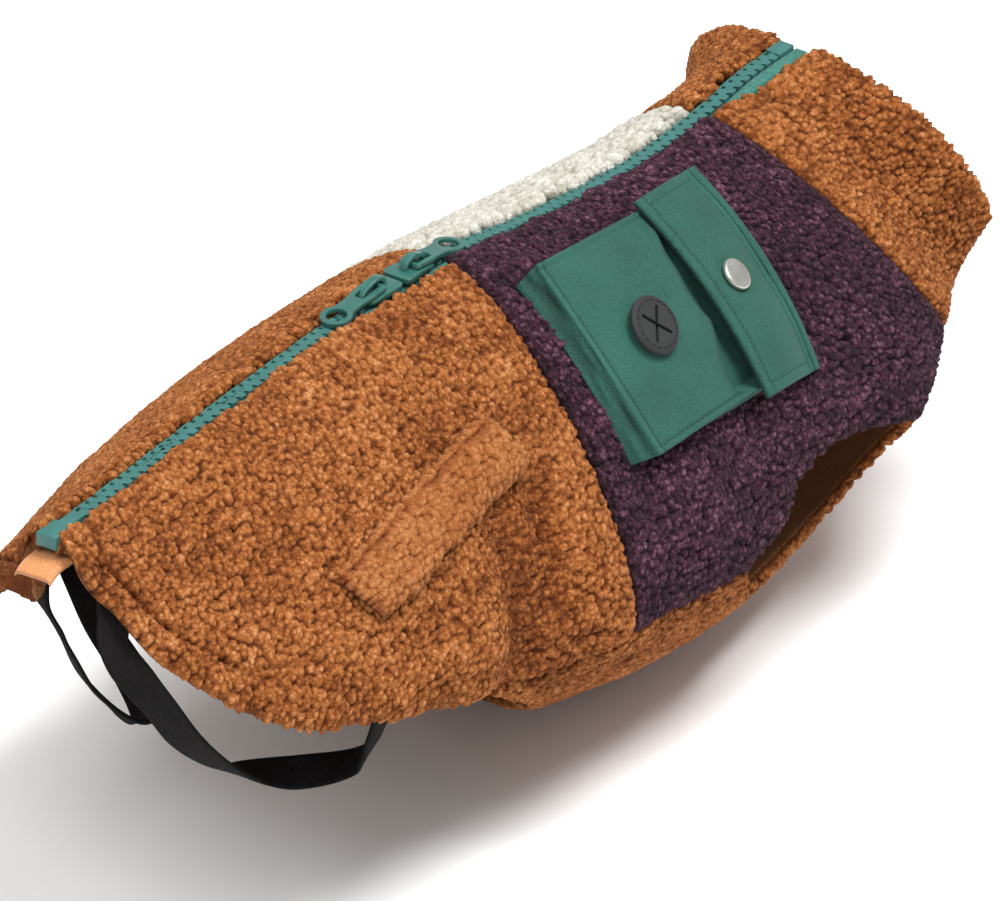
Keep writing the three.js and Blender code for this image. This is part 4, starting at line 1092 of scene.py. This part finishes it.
NYLON = woven_material(
    "green_nylon_canvas", (0.016, 0.080, 0.058), (0.006, 0.034, 0.024), 0.30, 0.8, 0.03, 0.18
)
(pocket_outer, pocket_tone), (pocket_inner, _) = pocket_surface(0), pocket_surface(1)
pocket = closed_sheet("pocket_canvas", pocket_outer / 1000, pocket_inner[::2, ::2] / 1000, pocket_tone, NYLON)
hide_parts("pocket_body")
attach(pocket, "coat")

# The topstitching: dark thread in short stitches, each a small bead pressed into the cloth.
STITCH_LENGTH, STITCH_GAP, THREAD_MM = 1.7, 0.7, 0.32
THREAD = woven_material(
    "dark_green_thread", (0.010, 0.044, 0.032), (0.004, 0.020, 0.015), 0.2, 0.7, 0.0, 0.05
)


def stitched_line(name, points, outwards, material, slot_name="green_nylon"):
    """Stitches along a line of points in millimetres, each lying along the line and facing outwards."""
    points, outwards = np.array(points), np.array(outwards)
    along = np.hstack([0, np.cumsum(np.linalg.norm(np.diff(points, axis=0), axis=1))])
    count = max(1, int(along[-1] / (STITCH_LENGTH + STITCH_GAP)))
    starts = (np.arange(count) + 0.5) * along[-1] / count
    at = lambda where: np.stack([np.interp(where, along, points[:, k]) for k in range(3)], -1)
    facing = np.stack([np.interp(starts, along, outwards[:, k]) for k in range(3)], -1)
    before, middle, after = at(starts - STITCH_LENGTH / 2), at(starts), at(starts + STITCH_LENGTH / 2)
    bpy.ops.mesh.primitive_cylinder_add(
        vertices=6, radius=THREAD_MM / 2, depth=STITCH_LENGTH, rotation=(0, math.pi / 2, 0)
    )
    bead = bpy.context.object
    bpy.ops.object.transform_apply(location=True, rotation=True, scale=True)
    round_edges(bead, 0.12, 1, 70)
    places = []
    for a, m, b, out in zip(before, middle, after, facing):
        run = Vector(b - a).normalized()
        across = Vector(out).cross(run).normalized()
        up = run.cross(across).normalized()
        places.append(axes_at(run, across, up, Vector(m) / 1000))
    line = repeated(name, bead, places, material)
    line.data.shade_smooth()
    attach(line, "coat")
    return line


def grid_line(grid, rows, columns):
    """Points of a surface grid along fractional rows and columns, and the outward direction at each."""
    rows, columns = paired(rows, columns)

    def look_up(r, c):
        r, c = np.clip(r, 0, grid.shape[0] - 1.001), np.clip(c, 0, grid.shape[1] - 1.001)
        i, j = r.astype(int), c.astype(int)
        fr, fc = (r - i)[..., None], (c - j)[..., None]
        near = grid[i, j] * (1 - fc) + grid[i, j + 1] * fc
        far = grid[i + 1, j] * (1 - fc) + grid[i + 1, j + 1] * fc
        return near * (1 - fr) + far * fr

    points = look_up(rows, columns)
    normal = unit(np.cross(look_up(rows + 1, columns) - look_up(rows - 1, columns),
                           look_up(rows, columns + 1) - look_up(rows, columns - 1)))
    return points, normal * np.sign((normal * CHORD_OUT).sum(-1, keepdims=True))


row_mm, column_mm = (POCKET_MOUTH - POCKET_TAIL) / FACE_ROWS, POCKET_DEEP / FACE_COLUMNS
tail_row = GUSSET_STEPS + TAIL_SEAM / row_mm
stitched_line(
    "pocket_tail_stitches",
    *grid_line(pocket_outer, tail_row, GUSSET_STEPS + np.linspace(2.2, 61.6, 80) / column_mm),
    THREAD,
)
lower_column = GUSSET_STEPS + FACE_COLUMNS - SIDE_SEAM / column_mm
stitched_line(
    "pocket_lower_stitches",
    *grid_line(pocket_outer, GUSSET_STEPS + np.linspace(3.4, 64, 80) / row_mm, lower_column), THREAD,
)

# ---- Dispenser outlet ----
# A soft black rubber disc set in a round hole of the pocket's face and stitched round its rim. Waste bags are
# pulled out through the cross slit cut in it.
OUTLET_X, OUTLET_B, OUTLET_HEIGHT, OUTLET_STITCH = 35.2, 0.5, 2.0, 7.3
RUBBER = plastic_material("black_molded_rubber", (0.015, 0.016, 0.016), 0.78, 0.5, 0.2)
finished_copy("dispenser_grommet", "outlet_rubber", RUBBER, 0.16, "coat")
face_head = face_point(OUTLET_X + 1, OUTLET_B) - face_point(OUTLET_X - 1, OUTLET_B)
face_down = face_point(OUTLET_X, OUTLET_B + 0.02) - face_point(OUTLET_X, OUTLET_B - 0.02)
face_head, face_down = unit(face_head), unit(face_down)
face_out = unit(np.cross(face_down, face_head))
face_out *= np.sign(face_out @ CHORD_OUT)
ring_angle = np.linspace(0, 2 * np.pi, 61)
ring = face_point(OUTLET_X, OUTLET_B) + face_out * (OUTLET_HEIGHT + REST_MM + 0.1)
ring = ring + OUTLET_STITCH * (
    np.cos(ring_angle)[:, None] * face_head + np.sin(ring_angle)[:, None] * np.cross(face_out, face_head)
)
BLACK_THREAD = woven_material(
    "black_thread", (0.008, 0.008, 0.008), (0.003, 0.003, 0.003), 0.2, 0.6, 0.0, 0.05
)
stitched_line("outlet_stitches", ring, np.tile(face_out, (61, 1)), BLACK_THREAD, slot_name="black_rubber")

# ---- Pocket flap ----
# Two layers of the green canvas, sewn together, turned out and topstitched all round. It is sewn down along
# its head edge in a stitched fold and lies bowed over the pocket's mouth.
FLAP_FREE = np.array([(64.9, -21.9, -0.1), (64.0, -70.3, -47.5)])
FLAP_BASE = np.array([(103.3, -15.0, -7.1), (97.9, -64.2, -55.0)])
FLAP_THICK, FLAP_STRIP, FLAP_LENGTH, FLAP_WIDTH = 1.8, 0.82, 39.0, 67.5
FLAP_ROWS, FLAP_COLUMNS = 108, 168
FLAP_STITCH, FLAP_GROOVE, FLAP_FOLD = 3.2, 4.6, 8.0
SNAP_A, SNAP_B, FLAP_SPAN = 0.33, 0.49, 67


def flap_point(a, b, lift=0.0):
    """A point of the flap in millimetres: a from its free edge to its sewn edge, b from its upper to its
    lower end."""
    a, b = paired(a, b)
    free = FLAP_FREE[0] + (FLAP_FREE[1] - FLAP_FREE[0]) * b[..., None]
    base = FLAP_BASE[0] + (FLAP_BASE[1] - FLAP_BASE[0]) * b[..., None]
    crown = (4.1 + 1.1 * a) * 4 * b * (1 - b)
    rise = 2.6 * np.sin(np.pi * np.clip(a / FLAP_STRIP, 0, 1)) ** 0.8
    return free + (base - free) * a[..., None] + CHORD_OUT * (crown + rise + lift)[..., None]


flap_a, flap_b = share_grid(FLAP_ROWS, FLAP_COLUMNS)
from_free, from_base, from_upper_end = flap_a * FLAP_LENGTH, (1 - flap_a) * FLAP_LENGTH, flap_b * FLAP_SPAN
from_ends = np.minimum(flap_b, 1 - flap_b) * FLAP_WIDTH
rim = np.minimum(np.minimum(from_free, from_base), from_ends)
flap_lift = -0.8 * (1 - np.sqrt(1 - (1 - np.clip(rim / 0.9, 0, 1)) ** 2 * 0.98))
inside_box = (from_free > 2.6) & (from_base > 6.6) & (from_ends > 2.6)
flap_lift = flap_lift - 0.28 * bell(from_free - FLAP_STITCH, 0.4) * (from_ends > 3.0)
flap_lift = flap_lift - 0.24 * bell(from_ends - FLAP_STITCH, 0.4) * inside_box
for away, height, half in (
    (FLAP_GROOVE, -1.6, 0.65), (6.4, 0.9, 1.0), (2.2, 0.35, 1.3), (FLAP_FOLD, -0.22, 0.35)
):
    flap_lift = flap_lift + height * bell(from_base - away, half)
flap_lift = flap_lift + 0.45 * lattice_noise(from_free, from_upper_end, 17.0, 221) * smooth_step(0, 6, rim)
flap_lift = flap_lift + 0.16 * lattice_noise(from_free, from_upper_end, 4.5, 222) * smooth_step(0, 2, rim)
from_snap = np.hypot(from_free - 12.9, from_upper_end - SNAP_B * FLAP_SPAN)
flap_lift = flap_lift - 0.7 * np.exp(-((from_snap / 6.2) ** 4))
flap_outer = flap_point(flap_a, flap_b, flap_lift)
flap_inner = flap_point(flap_a[::4, ::4], flap_b[::4, ::4], -FLAP_THICK)
# Painted shade in the crease by the sewn fold, with a painted highlight on the ridge beside it.
flap_tone = -0.75 * bell(from_base - FLAP_GROOVE, 0.5) + 0.12 * bell(from_base - 6.2, 0.8)
# Painted shade along the free edge's stitching.
flap_tone = flap_tone - 0.22 * bell(from_free - FLAP_STITCH, 0.5)
flap_tone = flap_tone + 0.08 * lattice_noise(from_free, from_upper_end, 12.0, 224)
flap = closed_sheet("flap_canvas", flap_outer / 1000, flap_inner / 1000, np.clip(flap_tone, -0.8, 0.4), NYLON)
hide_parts("pocket_flap")
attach(flap, "coat")
flap_row, flap_column = FLAP_LENGTH / FLAP_ROWS, FLAP_WIDTH / FLAP_COLUMNS
end_rows = np.linspace(FLAP_STITCH, FLAP_LENGTH - FLAP_FOLD, 50) / flap_row
full_columns = np.linspace(1.0, FLAP_WIDTH - 1.0, 90) / flap_column
for name, rows, columns in (
    ("free", FLAP_STITCH / flap_row, np.linspace(FLAP_STITCH, FLAP_WIDTH - FLAP_STITCH, 90) / flap_column),
    ("fold", (FLAP_LENGTH - FLAP_FOLD) / flap_row, full_columns),
    ("base", (FLAP_LENGTH - 3.9) / flap_row, full_columns),
    ("upper_end", end_rows, FLAP_STITCH / flap_column),
    ("lower_end", end_rows, FLAP_COLUMNS - FLAP_STITCH / flap_column),
):
    stitched_line("flap_" + name + "_stitches", *grid_line(flap_outer, rows, columns), THREAD)

# ---- Snap cap ----
# The pressed steel cap of the flap's snap, slightly domed with a rolled rim, its plating worn a little dull.
# It lies on the flap's face, and the socket behind it is hidden and left out.
SNAP_RADIUS = 5.0
SNAP_METAL = plastic_material("dull_nickel_plate", (0.50, 0.50, 0.46), 0.34, 0.2, 0.10, metal=0.85)
snap_at = flap_point(SNAP_A, SNAP_B)
snap_head = flap_point(SNAP_A + 1 / 38, SNAP_B) - flap_point(SNAP_A - 1 / 38, SNAP_B)
snap_down = flap_point(SNAP_A, SNAP_B + 0.02) - flap_point(SNAP_A, SNAP_B - 0.02)
snap_head, snap_down = Vector(snap_head).normalized(), Vector(snap_down).normalized()
snap_out = snap_down.cross(snap_head).normalized()
if snap_out.dot(Vector(CHORD_OUT)) < 0:
    snap_out.negate()
bpy.ops.mesh.primitive_cylinder_add(vertices=64, radius=SNAP_RADIUS, depth=1.2, location=(0, 0, 0.6))
snap = bpy.context.object
snap.name = "snap_cap_steel"
bpy.ops.object.transform_apply(location=True, rotation=True, scale=True)
bpy.ops.object.mode_set(mode="EDIT")
bpy.ops.mesh.select_mode(type="FACE")
for inset, rise in ((0.5, 0.25), (0.6, 0.12), (1.2, 0.08), (1.2, 0.04), (0.9, 0.01)):
    select_faces(snap, lambda middle, normal: normal.z > 0.99 and middle.z > 0.6 and middle.xy.length < 0.1)
    bpy.ops.mesh.inset(thickness=inset, depth=rise)
bpy.ops.object.mode_set(mode="OBJECT")
round_edges(snap, 0.32, 3, 40)
snap_middle = (Vector(snap_at) + snap_out * REST_MM) / 1000
snap_place = axes_at(snap_head, snap_out.cross(snap_head), snap_out, snap_middle)
snap.data.transform(snap_place @ Matrix.Scale(0.001, 4))
bpy.ops.object.shade_smooth_by_angle(angle=math.radians(35))
snap.data.materials.append(SNAP_METAL)
snap.select_set(False)
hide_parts("snap_cap")
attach(snap, "coat")

# ---- Leg straps ----
# Black knitted elastic webbing, 10 mm wide, from inside the tail hem round each hind leg to inside the
# flank hem. Each end lies flat on the inner face of the rear panel, where it is stitched. Rows are x, y, z
# and the outward direction on the free run, and station, girth and depth on the panel.
STRAP_HALF, STRAP_THICK = 5.0, 1.2
STRAP_END = [(-82, 117, -9), (-82, 108, -6.8), (-82, 100, -5.6), (-82, 93, -5.4)]
STRAPS = {
    "right": (
        -1,
        [(-161.5, 20.5, -5.4), (-165, 26, -5.4), (-168, 32, -5.8), (-170.5, 38.5, -7.2)],
        [
            (-170.5, -28, -45, -0.8, -0.5, 0.2), (-165.5, -30.5, -54, -0.88, -0.42, 0),
            (-156, -31.5, -68.5, -0.82, -0.45, -0.3), (-127, -24, -95, -0.6, -0.1, -0.8),
            (-111, -20, -105, -0.3, 0.35, -0.88), (-98, -26, -109, 0.1, 0.7, -0.7),
            (-91, -41, -103, 0.3, 0.1, -0.93), (-94, -50, -88, 0.1, -0.85, -0.4),
        ],
    ),
    "left": (
        1,
        [(-146, 21, -5.6), (-150, 24, -6.2), (-153, 28, -8.6)],
        [
            (-159.5, 16, -36, -0.85, 0.35, 0.2), (-153, 16.5, -49, -0.88, 0.35, 0),
            (-143, 20, -63, -0.85, 0.45, -0.2), (-129, 24, -83.5, -0.7, 0.4, -0.55),
            (-114, 22, -101, -0.4, 0.0, -0.9), (-100, 27, -108, 0.1, -0.5, -0.85),
            (-91, 41, -103, 0.3, -0.1, -0.93), (-94, 50, -88, 0.1, 0.85, -0.4),
        ],
    ),
}


def through_points(rows, samples):
    """A centripetal curve through the rows, evenly in its parameter, and its slope."""
    rows = np.array(rows, float)
    padded_rows = np.vstack([2 * rows[0] - rows[1], rows, 2 * rows[-1] - rows[-2]])
    u = np.linspace(0, len(rows) - 1, samples)
    k = np.minimum(u.astype(int), len(rows) - 2)
    w = (u - k)[:, None]
    p = [padded_rows[k + n] for n in range(4)]
    dt = [np.maximum(np.linalg.norm(p[n + 1] - p[n], axis=1, keepdims=True) ** 0.5, 1e-4) for n in range(3)]
    a = ((p[1] - p[0]) / dt[0] - (p[2] - p[0]) / (dt[0] + dt[1]) + (p[2] - p[1]) / dt[1]) * dt[1]
    b = ((p[2] - p[1]) / dt[1] - (p[3] - p[1]) / (dt[1] + dt[2]) + (p[3] - p[2]) / dt[2]) * dt[1]
    c2, c3 = -3 * p[1] + 3 * p[2] - 2 * a - b, 2 * p[1] - 2 * p[2] + a + b
    return p[1] + a * w + c2 * w**2 + c3 * w**3, a + 2 * c2 * w + 3 * c3 * w**2


ELASTIC = woven_material(
    "black_elastic_webbing", (0.010, 0.009, 0.009), (0.003, 0.003, 0.003), 0.5, 0.9, 0.0, 0.3, gloss=0.08
)
for side_name, (side, start, free) in STRAPS.items():
    held = []
    for rows in (start, STRAP_END):
        x, v, depth = np.array(rows, float).T
        held.append(np.hstack([coat_point(x, side * v, depth) * 1000, on_body(x, side * v)[1]]))
    rows = np.vstack([held[0], np.array(free, float), held[1]])
    middle, slope = through_points(rows[:, :3], 401)
    facing = through_points(rows[:, 3:], 401)[0]
    slope = unit(slope)
    across = unit(np.cross(facing, slope))
    out = np.cross(slope, across)
    t = np.linspace(-1, 1, 25)
    ribs = 0.07 * np.cos(t * 5 * np.pi) - 0.35 * np.clip((np.abs(t) - 0.88) / 0.12, 0, 1) ** 2
    strap_outer = middle[:, None] + across[:, None] * (STRAP_HALF * t)[None, :, None]
    strap_outer = strap_outer + out[:, None] * (STRAP_THICK / 2 + ribs)[None, :, None]
    strap_inner = middle[::4, None] + across[::4, None] * (STRAP_HALF * t[::3])[None, :, None]
    strap_inner = strap_inner - out[::4, None] * STRAP_THICK / 2
    strap = closed_sheet(
        "leg_strap_elastic_" + side_name, strap_outer / 1000, strap_inner / 1000, np.zeros((401, 25)), ELASTIC
    )
    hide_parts("leg_strap_" + side_name)
    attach(strap, "coat")

# ---- Floor, backdrop and light ----
# A pale seamless floor and two large soft lamps, one over the side and one past the tail, in a bright plain
# surround.
FLOOR_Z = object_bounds()[0][2] - 0.001
bpy.ops.mesh.primitive_plane_add(size=30, location=(0, 0, FLOOR_Z))
floor = bpy.context.object
floor.name = "floor"
paper = finished(new_material("white_paper"), {"Base Color": (0.97, 0.97, 0.97, 1), "Roughness": 0.9})
floor.data.materials.append(paper)
floor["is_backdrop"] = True
surround = bpy.context.scene.world or bpy.data.worlds.new("surround")
bpy.context.scene.world = surround
surround.use_nodes = True
surround.node_tree.nodes["Background"].inputs["Color"].default_value = (1, 1, 1, 1)
surround.node_tree.nodes["Background"].inputs["Strength"].default_value = 0.48
for lamp_name, place, power, width in (
    ("lamp_over", (0.2, -0.55, 1.5), 32, 0.75),
    ("lamp_tail", (-1.1, -0.1, 1.3), 17, 0.9),
):
    bpy.ops.object.light_add(type="AREA", location=place)
    lamp = bpy.context.object
    lamp.name = lamp_name
    lamp.data.energy = power
    lamp.data.size = width
    lamp.rotation_euler = (Vector((0, 0, -0.05)) - Vector(place)).to_track_quat("-Z", "Y").to_euler()
bpy.context.scene.view_settings.view_transform = "Standard"

{"cad": cad_box, "visual": [list(corner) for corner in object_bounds()]}
